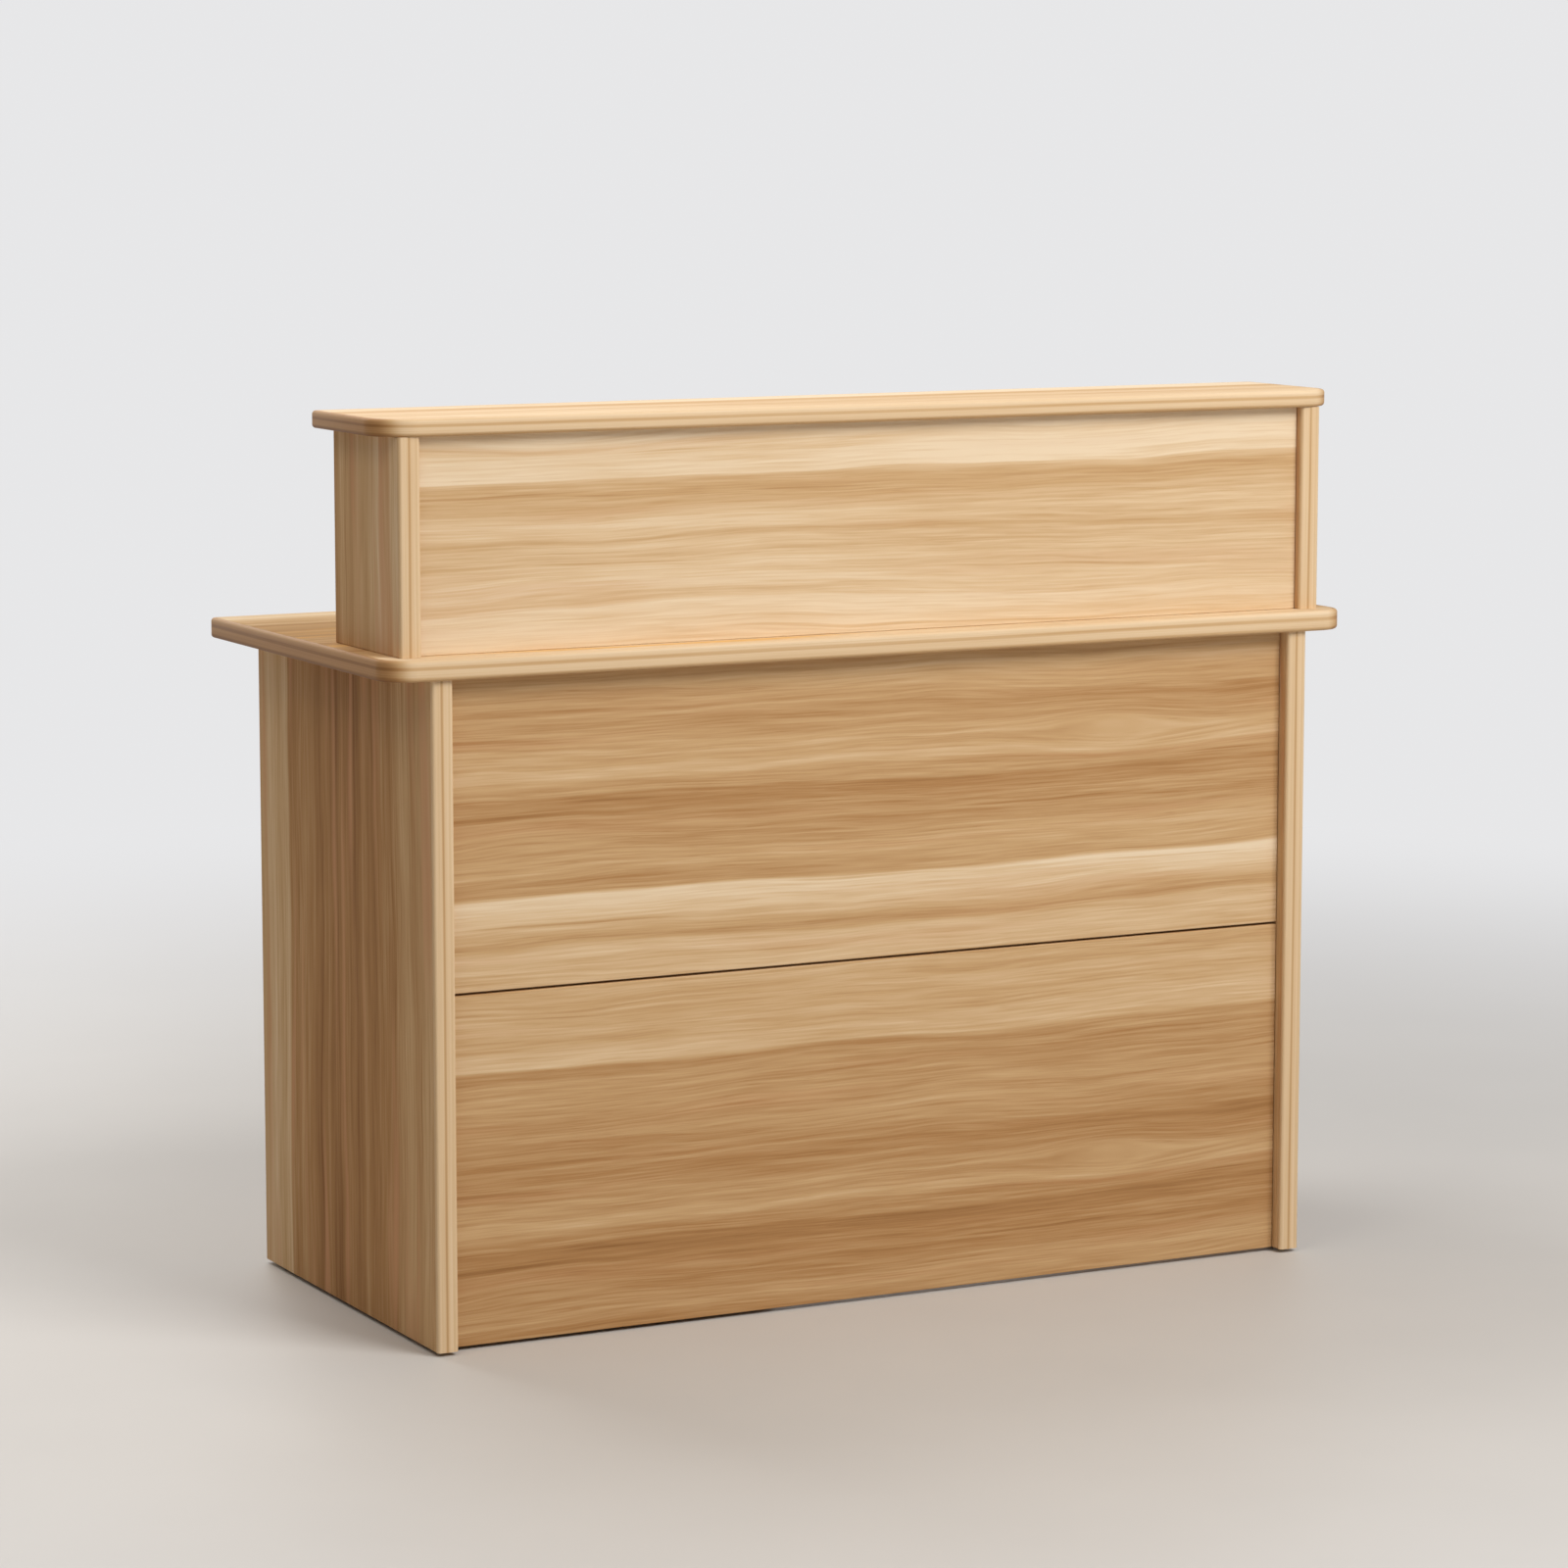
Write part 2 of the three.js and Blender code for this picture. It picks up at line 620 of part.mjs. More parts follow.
// The cam lies along +X when the drawer is unlocked, and has a square eye for the plug's tail.
function lockCam() {
  const lean = Math.acos((CAM_RADIUS - CAM_TIP_RADIUS) / (CAM_LENGTH - CAM_TIP_RADIUS));
  const tip = CAM_LENGTH - CAM_TIP_RADIUS;
  const outline = new THREE.Shape();
  outline.absarc(0, 0, CAM_RADIUS, lean, Math.PI * 2 - lean);
  outline.absarc(tip, 0, CAM_TIP_RADIUS, -lean, lean);
  const half = LOCK_STUB / 2 + FIT / 2;
  outline.holes.push(polygon([[-half, -half], [half, -half], [half, half], [-half, half]]));
  return alongY(outline, camY);
}

function strikeProfile() {
  const leg = camY[1] + STRIKE_PLAY;
  const top = -FIT / 2;
  return polygon([
    [leg, top],
    [leg, -STRIKE_LEG],
    [leg + STRIKE_GAUGE, -STRIKE_LEG],
    [leg + STRIKE_GAUGE, -STRIKE_GAUGE + top],
    [leg + STRIKE_FOOT, -STRIKE_GAUGE + top],
    [leg + STRIKE_FOOT, top],
  ]);
}

function buildDrawer(group) {
  const frontX = [-sideInner + FRONT_GAP, partitionLeft - FRONT_GAP];
  const lockDepth = [staffBack - OVERSHOOT, staffFace + OVERSHOOT];
  const lockHole = rod(LOCK_BARREL_DIAMETER / 2 + FIT / 2, lockDepth, ROUND_SIDES, "y");
  lockHole.translate(drawerMiddle, 0, lockLevel);
  const grooveX = [drawerX[0] + DRAWER_BOARD - GROOVE_DEPTH, drawerX[1] - DRAWER_BOARD + GROOVE_DEPTH];
  const grooveZ = [drawerFloor[0] - FIT / 2, drawerFloor[1] + FIT / 2];
  const groove = block([grooveX, [staffBack - OVERSHOOT, staffBack + GROOVE_DEPTH], grooveZ]);
  const frontZ = [drawerFrontUnder, drawerFrontTop];
  addBoard(group, "drawer_front", frontX, [staffBack, staffFace], frontZ, LAMINATE, [lockHole, groove]);

  const sideLength = [drawerY[0] + FIT / 2, drawerY[1] - FIT / 2];
  const halfBoard = DRAWER_BOARD / 2;
  const leftSide = alongY(drawerSide(), sideLength);
  add(group, "drawer_left_side", leftSide, LAMINATE, [drawerX[0] + halfBoard, 0, 0]);
  const length = sideLength[1] - sideLength[0];
  const other = alongY(drawerSide(), [-length / 2, length / 2]).rotateZ(Math.PI);
  add(group, "drawer_right_side", other, LAMINATE, [drawerX[1] - halfBoard, middle(sideLength), 0]);

  const boxX = [drawerX[0] + DRAWER_BOARD, drawerX[1] - DRAWER_BOARD];
  const backY = [drawerY[0], drawerY[0] + DRAWER_BOARD];
  addBoard(group, "drawer_back", boxX, backY, [drawerFloor[1], drawerSideTop]);
  const floorY = [drawerY[0], drawerY[1] + GROOVE_DEPTH];
  const floorX = [grooveX[0] + FIT / 2, grooveX[1] - FIT / 2];
  addBoard(group, "drawer_bottom", floorX, floorY, drawerFloor, HARDBOARD);

  const handlePlace = [drawerMiddle, staffFace + FIT / 2, middle([drawerUnder, lockLevel])];
  add(group, "drawer_handle", bowHandle(), NICKEL, handlePlace);

  const lockPlace = [drawerMiddle, 0, lockLevel];
  add(group, "lock_barrel", lockBarrel(), NICKEL, lockPlace);
  add(group, "lock_plug", lockPlug(), NICKEL, lockPlace);
  add(group, "lock_cam", lockCam(), ZINC, lockPlace);

  const level = middle([drawerUnder, drawerSideTop]);
  const sliding = slidingSection(middleBack, middleHalf);
  const sides = { left: [-sideInner, 1], right: [partitionLeft, -1] };
  for (const [side, [face, hand]] of Object.entries(sides)) {
    addRunner(group, `drawer_runner_${side}_fixed`, fixedSection, face, hand, drawerY, level);
    addRunner(group, `drawer_runner_${side}_middle`, middleSection, face, hand, drawerY, level);
    addRunner(group, `drawer_runner_${side}_sliding`, sliding, face, hand, drawerY, level);
  }
}

function buildStrike(group) {
  const half = STRIKE_WIDTH / 2;
  const turned = alongY(strikeProfile(), [-half, half]).rotateZ(Math.PI / 2);
  add(group, "lock_strike", turned, ZINC, [drawerMiddle, 0, deskUnder]);
}

// Keyboard tray in the knee space
function buildTray(group) {
  const trayX = [partitionRight + RUNNER_WIDTH, sideInner - RUNNER_WIDTH];
  const trayY = [staffBack - runnerLength(TRAY_REAR_ROOM), staffBack];
  const trayZ = [deskUnder - TRAY_DROP - BOARD, deskUnder - TRAY_DROP];
  addBoard(group, "keyboard_tray", trayX, trayY, trayZ);
  const fasciaX = [partitionRight + FRONT_GAP, sideInner - FRONT_GAP];
  const fasciaTop = trayZ[1] + FASCIA_RISE;
  const fasciaZ = [fasciaTop - FASCIA_HEIGHT, fasciaTop];
  addBoard(group, "keyboard_tray_fascia", fasciaX, [staffBack, staffFace], fasciaZ);

  const sliding = slidingSection(FIT / 2, runnerHalf);
  const sides = { left: [partitionRight, 1], right: [sideInner, -1] };
  for (const [side, [face, hand]] of Object.entries(sides)) {
    addRunner(group, `tray_runner_${side}_fixed`, fixedSection, face, hand, trayY, middle(trayZ));
    addRunner(group, `tray_runner_${side}_sliding`, sliding, face, hand, trayY, middle(trayZ));
  }
}

// Cupboard door on two butt hinges, with a magnetic catch
const doorX = [-sideInner + FRONT_GAP, partitionLeft - FRONT_GAP];
const doorZ = [floorBoardTop + FRONT_GAP, dividerUnder - FRONT_GAP];
const hingeX = -sideInner + KNUCKLE_RADIUS + FIT;
const hingeY = staffFace + KNUCKLE_RADIUS + FIT;

// One leaf of a hinge, about the hinge axis: a plate, and knuckles on every other fifth of its height.
function hingeLeaf(plateX, first) {
  const step = HINGE_HEIGHT / KNUCKLES;
  const plateY = [staffBack + LEAF_MARGIN - hingeY, staffFace - hingeY];
  const pieces = [block([plateX, plateY, [-HINGE_HEIGHT / 2, HINGE_HEIGHT / 2]])];
  for (let turn = first; turn < KNUCKLES; turn += 2) {
    const low = -HINGE_HEIGHT / 2 + turn * step;
    const span = [low + FIT / 2, low + step - FIT / 2];
    pieces.push(block([plateX, [plateY[1] - OVERSHOOT, 0], span]));
    pieces.push(rod(KNUCKLE_RADIUS, span, SMALL_ROUND_SIDES, "z"));
  }
  return join(pieces);
}

// The catch hangs under the divider by two ears.
function catchProfile() {
  const half = CATCH_WIDTH / 2;
  const waist = half - CATCH_EAR_WIDTH;
  const under = -CATCH_EAR_GAUGE;
  const right = [[waist, -CATCH_HEIGHT], [waist, under], [half, under], [half, -FIT / 2]];
  return polygon([...right, ...right.map(([x, z]) => [-x, z]).reverse()]);
}

function catchPlateOutline() {
  const x = CATCH_WIDTH / 2 - CATCH_PLATE_CORNER;
  const z = CATCH_PLATE_HEIGHT / 2 - CATCH_PLATE_CORNER;
  const outline = new THREE.Shape();
  outline.absarc(x, z, CATCH_PLATE_CORNER, 0, Math.PI / 2);
  outline.absarc(-x, z, CATCH_PLATE_CORNER, Math.PI / 2, Math.PI);
  outline.absarc(-x, -z, CATCH_PLATE_CORNER, Math.PI, Math.PI * 1.5);
  outline.absarc(x, -z, CATCH_PLATE_CORNER, Math.PI * 1.5, Math.PI * 2);
  return outline;
}

function buildDoor(group) {
  addBoard(group, "cupboard_door", doorX, [staffBack, staffFace], doorZ);
  const frameX = [-sideInner + FIT / 2 - hingeX, -sideInner + FIT / 2 + LEAF_GAUGE - hingeX];
  const leafX = [doorX[0] - LEAF_GAUGE - hingeX, doorX[0] - hingeX];
  const levels = { lower: doorZ[0] + HINGE_INSET, upper: doorZ[1] - HINGE_INSET };
  const pin = rod(HINGE_PIN_RADIUS, [-HINGE_HEIGHT / 2, HINGE_HEIGHT / 2], SMALL_ROUND_SIDES, "z");
  const bore = rod(HINGE_PIN_RADIUS + FIT, [-HINGE_HEIGHT, HINGE_HEIGHT], SMALL_ROUND_SIDES, "z");
  for (const [end, level] of Object.entries(levels)) {
    const place = [hingeX, hingeY, level];
    add(group, `hinge_${end}_frame_leaf`, join([hingeLeaf(frameX, 0), pin]), ZINC, place);
    add(group, `hinge_${end}_door_leaf`, cut(hingeLeaf(leafX, 1), [bore]), ZINC, place);
  }

  const handle = bowHandle().rotateY(Math.PI / 2);
  const handlePlace = [doorX[1] - DOOR_HANDLE_INSET, staffFace + FIT / 2, doorZ[1] - DOOR_HANDLE_DROP];
  add(group, "door_handle", handle, NICKEL, handlePlace);

  const catchX = doorX[1] - CATCH_INSET - CATCH_WIDTH / 2;
  const plateY = [staffBack - CATCH_PLATE_GAUGE - FIT / 2, staffBack - FIT / 2];
  const catchY = [plateY[0] - FIT - CATCH_DEPTH, plateY[0] - FIT];
  add(group, "catch_body", alongY(catchProfile(), catchY), WHITE_PLASTIC, [catchX, 0, dividerUnder]);
  const plateLevel = dividerUnder - CATCH_HEIGHT / 2;
  add(group, "catch_plate", alongY(catchPlateOutline(), plateY), ZINC, [catchX, 0, plateLevel]);
}

const desk = new THREE.Group();
for (const build of [
  buildBase,
  buildTops,
  buildHutch,
  buildPedestal,
  buildDrawer,
  buildStrike,
  buildTray,
  buildDoor,
]) {
  const group = new THREE.Group();
  build(group);
  desk.add(group);
}

export default desk;
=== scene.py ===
"""Looks of a reception desk in wood-grain laminate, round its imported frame.

Metres, in the part's own frame: the customer's front faces -Y, the staff side +Y, and +Z is up.
"""
import json
import math

import bpy
from mathutils import Matrix, Vector

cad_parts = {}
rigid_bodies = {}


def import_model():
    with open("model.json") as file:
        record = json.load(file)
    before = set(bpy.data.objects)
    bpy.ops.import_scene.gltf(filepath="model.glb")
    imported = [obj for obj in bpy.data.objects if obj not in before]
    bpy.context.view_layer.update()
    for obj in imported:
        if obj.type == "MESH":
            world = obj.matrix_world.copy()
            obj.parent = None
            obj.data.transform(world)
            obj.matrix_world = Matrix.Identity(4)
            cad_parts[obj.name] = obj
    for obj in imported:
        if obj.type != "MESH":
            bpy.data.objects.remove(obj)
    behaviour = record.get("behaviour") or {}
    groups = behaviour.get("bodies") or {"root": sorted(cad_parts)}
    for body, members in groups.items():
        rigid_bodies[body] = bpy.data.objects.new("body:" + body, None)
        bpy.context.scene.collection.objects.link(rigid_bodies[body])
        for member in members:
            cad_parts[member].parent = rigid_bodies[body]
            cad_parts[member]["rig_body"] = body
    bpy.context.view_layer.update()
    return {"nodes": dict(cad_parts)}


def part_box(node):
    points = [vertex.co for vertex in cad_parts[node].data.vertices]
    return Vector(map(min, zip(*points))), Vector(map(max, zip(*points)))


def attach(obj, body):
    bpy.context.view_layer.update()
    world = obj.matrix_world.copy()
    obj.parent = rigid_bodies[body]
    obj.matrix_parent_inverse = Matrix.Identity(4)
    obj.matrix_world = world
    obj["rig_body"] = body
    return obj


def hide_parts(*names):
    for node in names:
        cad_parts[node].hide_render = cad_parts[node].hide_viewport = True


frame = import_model()

X, Y, Z = 0, 1, 2

# Edges of the boards
FIT = 0.0003
HAIR = 0.00005
DESK_CORNER = 0.035
COUNTER_CORNER = 0.045
REAR_CORNER = 0.006
LIPPING_ARRIS = 0.004
BOARD_ARRIS = 0.0006
CORNER_SEGMENTS = 14
REAR_SEGMENTS = 6
LIPPING_SEGMENTS = 5
BOARD_SEGMENTS = 2
SMOOTH_ANGLE = math.radians(40)
FLAT_ANGLE = math.radians(15)
SHARP_ANGLE = math.radians(60)
MERGE_ANGLE = math.radians(1)

# Fittings that are too small for the frame
RIM_SHARE = 0.6
RIM_SEGMENTS = 3
SCREW_RADIUS = 0.0028
SCREW_HEIGHT = 0.0010
SCREW_SIDES = 16
CROSS_RADIUS = 0.0016
CROSS_WAIST = 0.36
CROSS_DEPTH = 0.6
CROSS_TAPER = 0.6
FLUSH_HEIGHT = 0.0003
CAP_RADIUS = 0.009
CAP_HEIGHT = 0.0012
CAP_SIDES = 40
CAP_STEPS = (  # width and rise of the rim, the groove's two walls and the crown's two rings
    (0.0012, 0),
    (0.0003, -0.0003),
    (0.0003, 0.0003),
    (0.0022, 0.0001),
    (0.0022, 0.00005),
)
HANDLE_LEVELS = 2

# Where screws and caps sit
HANDLE_CENTRES = 0.096
LEAF_GAUGE = 0.001
LEAF_SCREW_INSET = 0.006
LEAF_SCREW_LEVELS = (0.010, 0.025, 0.040)
STRIKE_GAUGE = 0.0015
STRIKE_SCREW_INSET = 0.0062
STRIKE_SCREW_SIDES = (-0.012, 0.012)
CATCH_EAR_GAUGE = 0.003
CATCH_EAR_MIDDLE = 0.0045
CATCH_PLATE_SCREW_LEVEL = 0.0042
BATTEN_SCREW_COLUMNS = (-0.46, -0.335, -0.21, -0.05, 0.09, 0.23, 0.37, 0.48)
BATTEN_SCREW_INSET = 0.015
CAP_INSET = 0.034
CAP_LEVELS = {
    "lower_front_panel": (0.14, 0.27),
    "upper_front_panel": (0.45, 0.54),
    "hutch_front_panel": (0.81, 0.93),
}
CAP_ROWS = {  # side of the panel that faces inwards, and the rows along it
    "left_side_panel": (1, (-0.14, 0.14)),
    "partition_panel": (1, (-0.14, 0.14)),
    "right_side_panel": (-1, (-0.14, 0.14)),
    "hutch_left_side_panel": (1, (-0.16, -0.09)),
    "hutch_right_side_panel": (-1, (-0.16, -0.09)),
}

# The laminate's prints: their width across the grain, and the level and tone of their bands
PRINT_WIDTH = 0.49
FRONT_PRINT = (
    (0.000, 0.62),
    (0.030, 0.68),
    (0.047, 0.46),
    (0.064, 0.62),
    (0.080, 0.76),
    (0.096, 0.92),
    (0.101, 0.46),
    (0.135, 0.52),
    (0.165, 0.38),
    (0.205, 0.34),
    (0.236, 0.58),
    (0.255, 0.46),
    (0.290, 0.42),
    (0.355, 0.54),
    (0.406, 0.44),
    (0.412, 0.82),
    (0.440, 0.66),
    (0.490, 0.62),
)
HUTCH_PRINT = (
    (0.000, 0.88),
    (0.040, 0.84),
    (0.050, 0.66),
    (0.058, 0.76),
    (0.072, 0.66),
    (0.084, 0.72),
    (0.098, 0.60),
    (0.110, 0.66),
    (0.117, 0.50),
    (0.124, 0.68),
    (0.138, 0.72),
    (0.150, 0.58),
    (0.168, 0.50),
    (0.187, 0.52),
    # Levels 0.190 to 0.236 fall along the top of the hutch front: the pale band there is print, and its
    # upper part (0.216, 0.236) is raised to pale as painted light, lifting the shadow that the counter's
    # overhang casts.
    (0.190, 0.96),
    (0.210, 0.94),
    (0.216, 0.84),
    (0.236, 0.84),
    (0.330, 0.60),
    (0.490, 0.88),
)
DESK_PRINT = (
    (0.000, 0.86),
    (0.032, 0.82),
    (0.048, 0.60),
    (0.075, 0.48),
    (0.100, 0.52),
    (0.112, 0.42),
    (0.150, 0.48),
    (0.190, 0.40),
    (0.215, 0.50),
    (0.240, 0.44),
    (0.290, 0.40),
    (0.330, 0.50),
    (0.352, 0.43),
    (0.410, 0.40),
    (0.416, 0.64),
    (0.450, 0.56),
    (0.490, 0.86),
)
# The side print's bands run darker than the front print's: partly the wood's figure, partly painted shade
# of the side panels.
SIDE_PRINT = (
    (0.000, 0.62),
    (0.026, 0.66),
    (0.050, 0.48),
    (0.072, 0.60),
    (0.090, 0.56),
    (0.112, 0.38),
    (0.135, 0.46),
    (0.160, 0.32),
    (0.185, 0.44),
    (0.205, 0.24),
    (0.235, 0.38),
    (0.262, 0.20),
    (0.290, 0.42),
    (0.320, 0.26),
    (0.345, 0.44),
    (0.370, 0.50),
    (0.390, 0.36),
    (0.408, 0.46),
    (0.411, 0.80),
    (0.440, 0.68),
    (0.470, 0.80),
    (0.490, 0.64),
)
EYE_ALONG = 0.30
EYE_ACROSS = 0.252
EYE_HALF_LENGTH = 0.13
EYE_HALF_HEIGHT = 0.022
EYE_PULL = 1.12
VEIN_ACROSS = 0.190
VEIN_HALF_HEIGHT = 0.0022
VEIN_ENDS = (-0.22, -0.46)
MIDDLE_TONE = 0.52
EDGE_LEAN = 0.9

# Noise in the grain: pitch along and across it, and a depth that keeps the layers unlike each other
WANDER = (1.1, 3.5, 0.3)
RIPPLE = (5, 22, 1.7)
STRENGTH = (1.7, 9, 3.3)
BROAD = (0.7, 26, 4.1)
STREAKS = (1.3, 95, 7.9)
FIBRES = (10, 400, 2.6)
LINES = (2.4, 150, 6.3)
PORES = (28, 1150, 5.2)
WARMTH = (2.2, 40, 9.4)
WANDER_SWING = 0.010
RIPPLE_SWING = 0.0034
LAMINATE_RELIEF = 0.00004

# Stripes of the lippings, as the tone at each share of the strip's width, and the painted shade that
# darkens a top's ends
LIPPING_RELIEF = 0.00003
LIPPING_END = 0.03
TOP_END_PAINTED_SHADE = 0.50
# Across a top's lipping, from the bottom up: the dark lowest stripe is painted shade under the lower arris,
# and the pale top stripe is partly a painted highlight on the upper arris; the brown stripe between is
# print.
TOP_STRIPES = (
    (0.00, 0.50),
    (0.16, 0.56),
    (0.24, 0.80),
    (0.50, 0.84),
    (0.56, 0.60),
    (0.66, 0.58),
    (0.72, 0.80),
    (0.86, 0.86),
    (1.00, 0.84),
)
# Across an upright's lipping, from its -X edge: the darker stripe on that edge, which faces away from the
# key lamp, is painted shade; the thin brown line in the middle is print.
UPRIGHT_STRIPES = (
    (0.00, 0.66),
    (0.14, 0.80),
    (0.40, 0.78),
    (0.45, 0.52),
    (0.50, 0.50),
    (0.55, 0.74),
    (0.72, 0.82),
    (0.80, 0.70),
    (0.92, 0.80),
    (1.00, 0.70),
)

# Shades of the wood print from its darkest streak to its palest band
SHADES = (
    (0.00, (0.260, 0.118, 0.040, 1)),
    (0.30, (0.435, 0.234, 0.095, 1)),
    (0.55, (0.590, 0.382, 0.194, 1)),
    (0.80, (0.735, 0.545, 0.340, 1)),
    (1.00, (0.830, 0.675, 0.485, 1)),
)
BLUSH = (0.600, 0.320, 0.165, 1)
GOLD = (0.780, 0.460, 0.150, 1)

# Texture of the hardboard, the plated metal and the plastics
FLECK_PITCH = 900
FLECK_RELIEF = 0.00003
BRUSH_ALONG = 6
BRUSH_ACROSS = 1400
BRUSH_RELIEF = 0.00001
PLATE_CLOUD_PITCH = 45
DULL_SHARE = 0.78
SPARK_PITCH = 1600
SPARK_RELIEF = 0.00002
PLASTIC_CLOUD_PITCH = 60
SHADED_SHARE = 0.86


class Field:
    """One output in a finish's node tree. Arithmetic on fields adds Math nodes to that tree."""

    def __init__(self, tree, socket):
        self.tree = tree
        self.socket = socket

    def node(self, kind, settings, sockets, output=0):
        """Adds a node of any kind: its settings first, then the value or link of each socket."""
        made = self.tree.nodes.new(kind)
        for name, value in settings.items():
            if name == "stops":
                set_stops(made.color_ramp, value)
            else:
                setattr(made, name, value)
        for key, value in sockets.items():
            if isinstance(value, Field):
                self.tree.links.new(value.socket, made.inputs[key])
            else:
                made.inputs[key].default_value = value
        return Field(self.tree, made.outputs[output])

    def math(self, operation, *others):
        sockets = dict(enumerate((self, *others)))
        return self.node("ShaderNodeMath", {"operation": operation}, sockets)

    def __add__(self, other):
        return self.math("ADD", other)

    def __radd__(self, other):
        return self.math("ADD", other)

    def __sub__(self, other):
        return self.math("SUBTRACT", other)

    def __rsub__(self, other):
        return -self + other

    def __mul__(self, other):
        return self.math("MULTIPLY", other)

    def __rmul__(self, other):
        return self.math("MULTIPLY", other)

    def __truediv__(self, other):
        return self.math("DIVIDE", other)

    def __neg__(self):
        return self.math("MULTIPLY", -1)

    def clamped(self):
        return self.node("ShaderNodeClamp", {}, {0: self})

    def bell(self):
        """1 where the field is 0, falling smoothly to 0 on both sides of it."""
        return (-(self * self)).math("EXPONENT")

    def step(self, low, high):
        """Goes smoothly from 0 at one value to 1 at the other."""
        return self.node(
            "ShaderNodeMapRange",
            {"interpolation_type": "SMOOTHSTEP"},
            {0: self, 1: low, 2: high, 3: 0, 4: 1},
        )

    def ramp(self, stops):
        return self.node("ShaderNodeValToRGB", {"stops": stops}, {0: self})

    def tones(self, stops, width=1.0):
        """Reads a list of levels and tones, whose levels run from 0 to the given width."""
        grey = [(level / width, (tone, tone, tone, 1)) for level, tone in stops]
        return (self / width).ramp(grey)


def set_stops(ramp, stops):
    while len(ramp.elements) < len(stops):
        ramp.elements.new(1)
    for element, (position, colour) in zip(ramp.elements, stops):
        element.position = position
        element.color = colour


class Finish:
    """A material, with the object's own coordinates and its surface shader at hand."""

    def __init__(self, name):
        self.material = bpy.data.materials.new(name)
        self.material.use_nodes = True
        tree = self.material.node_tree
        self.shader = next(node for node in tree.nodes if node.type == "BSDF_PRINCIPLED")
        coordinates = tree.nodes.new("ShaderNodeTexCoord")
        self.place = Field(tree, coordinates.outputs["Object"])
        split = tree.nodes.new("ShaderNodeSeparateXYZ")
        tree.links.new(coordinates.outputs["Object"], split.inputs[0])
        self.axes = [Field(tree, socket) for socket in split.outputs]

    def point(self, x, y, z):
        return self.place.node("ShaderNodeCombineXYZ", {}, {0: x, 1: y, 2: z})

    def noise(self, vector, scale=1.0, detail=2.0):
        """Noise about zero, mostly between -1 and 1."""
        sockets = {"Vector": vector, "Scale": scale, "Detail": detail}
        return (self.place.node("ShaderNodeTexNoise", {}, sockets) - 0.5) * 4

    def grain(self, u, v, layer, detail=1):
        """One noise layer of the grain, stretched along it."""
        along, across, depth = layer
        return self.noise(self.point(u * along, v * across, depth), detail=detail)

    def mix(self, factor, first, second):
        sockets = {0: factor, 6: first, 7: second}
        return self.place.node("ShaderNodeMix", {"data_type": "RGBA"}, sockets, output=2)

    def bump(self, height, distance):
        return self.place.node("ShaderNodeBump", {}, {"Height": height, "Distance": distance})

    def wear(self, **sockets):
        """Sets or links the surface shader's sockets, named with underscores for spaces."""
        for key, value in sockets.items():
            socket = self.shader.inputs[key.replace("_", " ")]
            if isinstance(value, Field):
                value.tree.links.new(value.socket, socket)
            else:
                socket.default_value = value
        return self.material


def laminate(name, along, across, shift, light=0.0, bands=FRONT_PRINT, gloss=0.10, tint=BLUSH, depth=0.18):
    """Printed wood grain: along and across are axes of the board, and shift moves the print on it.

    The tint colours the warmer streaks, to the given depth.
    """
    finish = Finish(name)
    through = X + Y + Z - along - across
    u = finish.axes[along] + shift[0]
    v = finish.axes[across] + finish.axes[through] * EDGE_LEAN + shift[1]

    wander = finish.grain(u, v, WANDER) * WANDER_SWING
    ripple = finish.grain(u, v, RIPPLE) * RIPPLE_SWING
    level = (v + wander + ripple).math("WRAP", PRINT_WIDTH, 0)
    from_eye = level - EYE_ACROSS
    eye = ((u - EYE_ALONG) / EYE_HALF_LENGTH).bell() * (from_eye / EYE_HALF_HEIGHT).bell()
    grain = from_eye * (1 - eye * EYE_PULL) + EYE_ACROSS

    strength = finish.grain(u, grain, STRENGTH) * 0.35 + 1
    figure = (grain.tones(bands, PRINT_WIDTH) - MIDDLE_TONE) * strength + MIDDLE_TONE
    broad = finish.grain(u, grain, BROAD)
    streaks = finish.grain(u, grain, STREAKS, detail=2)
    fibres = finish.grain(u, grain, FIBRES, detail=2)
    lines = finish.grain(u, grain, LINES).step(0.65, 1.15)
    vein = ((grain - VEIN_ACROSS) / VEIN_HALF_HEIGHT).bell() * u.step(*VEIN_ENDS)
    pores = finish.grain(u, v, PORES).step(0.55, 1.1)
    pale = figure + broad * 0.06 + streaks * 0.09 + fibres * 0.11 + light
    tone = pale - lines * 0.17 - vein * 0.22 - pores * 0.08

    shade = tone.clamped().ramp(SHADES)
    warmth = finish.grain(u, grain, WARMTH).step(0.1, 1.0)
    relief = streaks * 0.4 + fibres * 0.6 - pores
    return finish.wear(
        Base_Color=finish.mix(warmth * depth, shade, tint),
        Roughness=(0.70 - streaks * 0.03 + pores * 0.08),
        Specular_IOR_Level=gloss,
        Normal=finish.bump(relief, LAMINATE_RELIEF),
    )


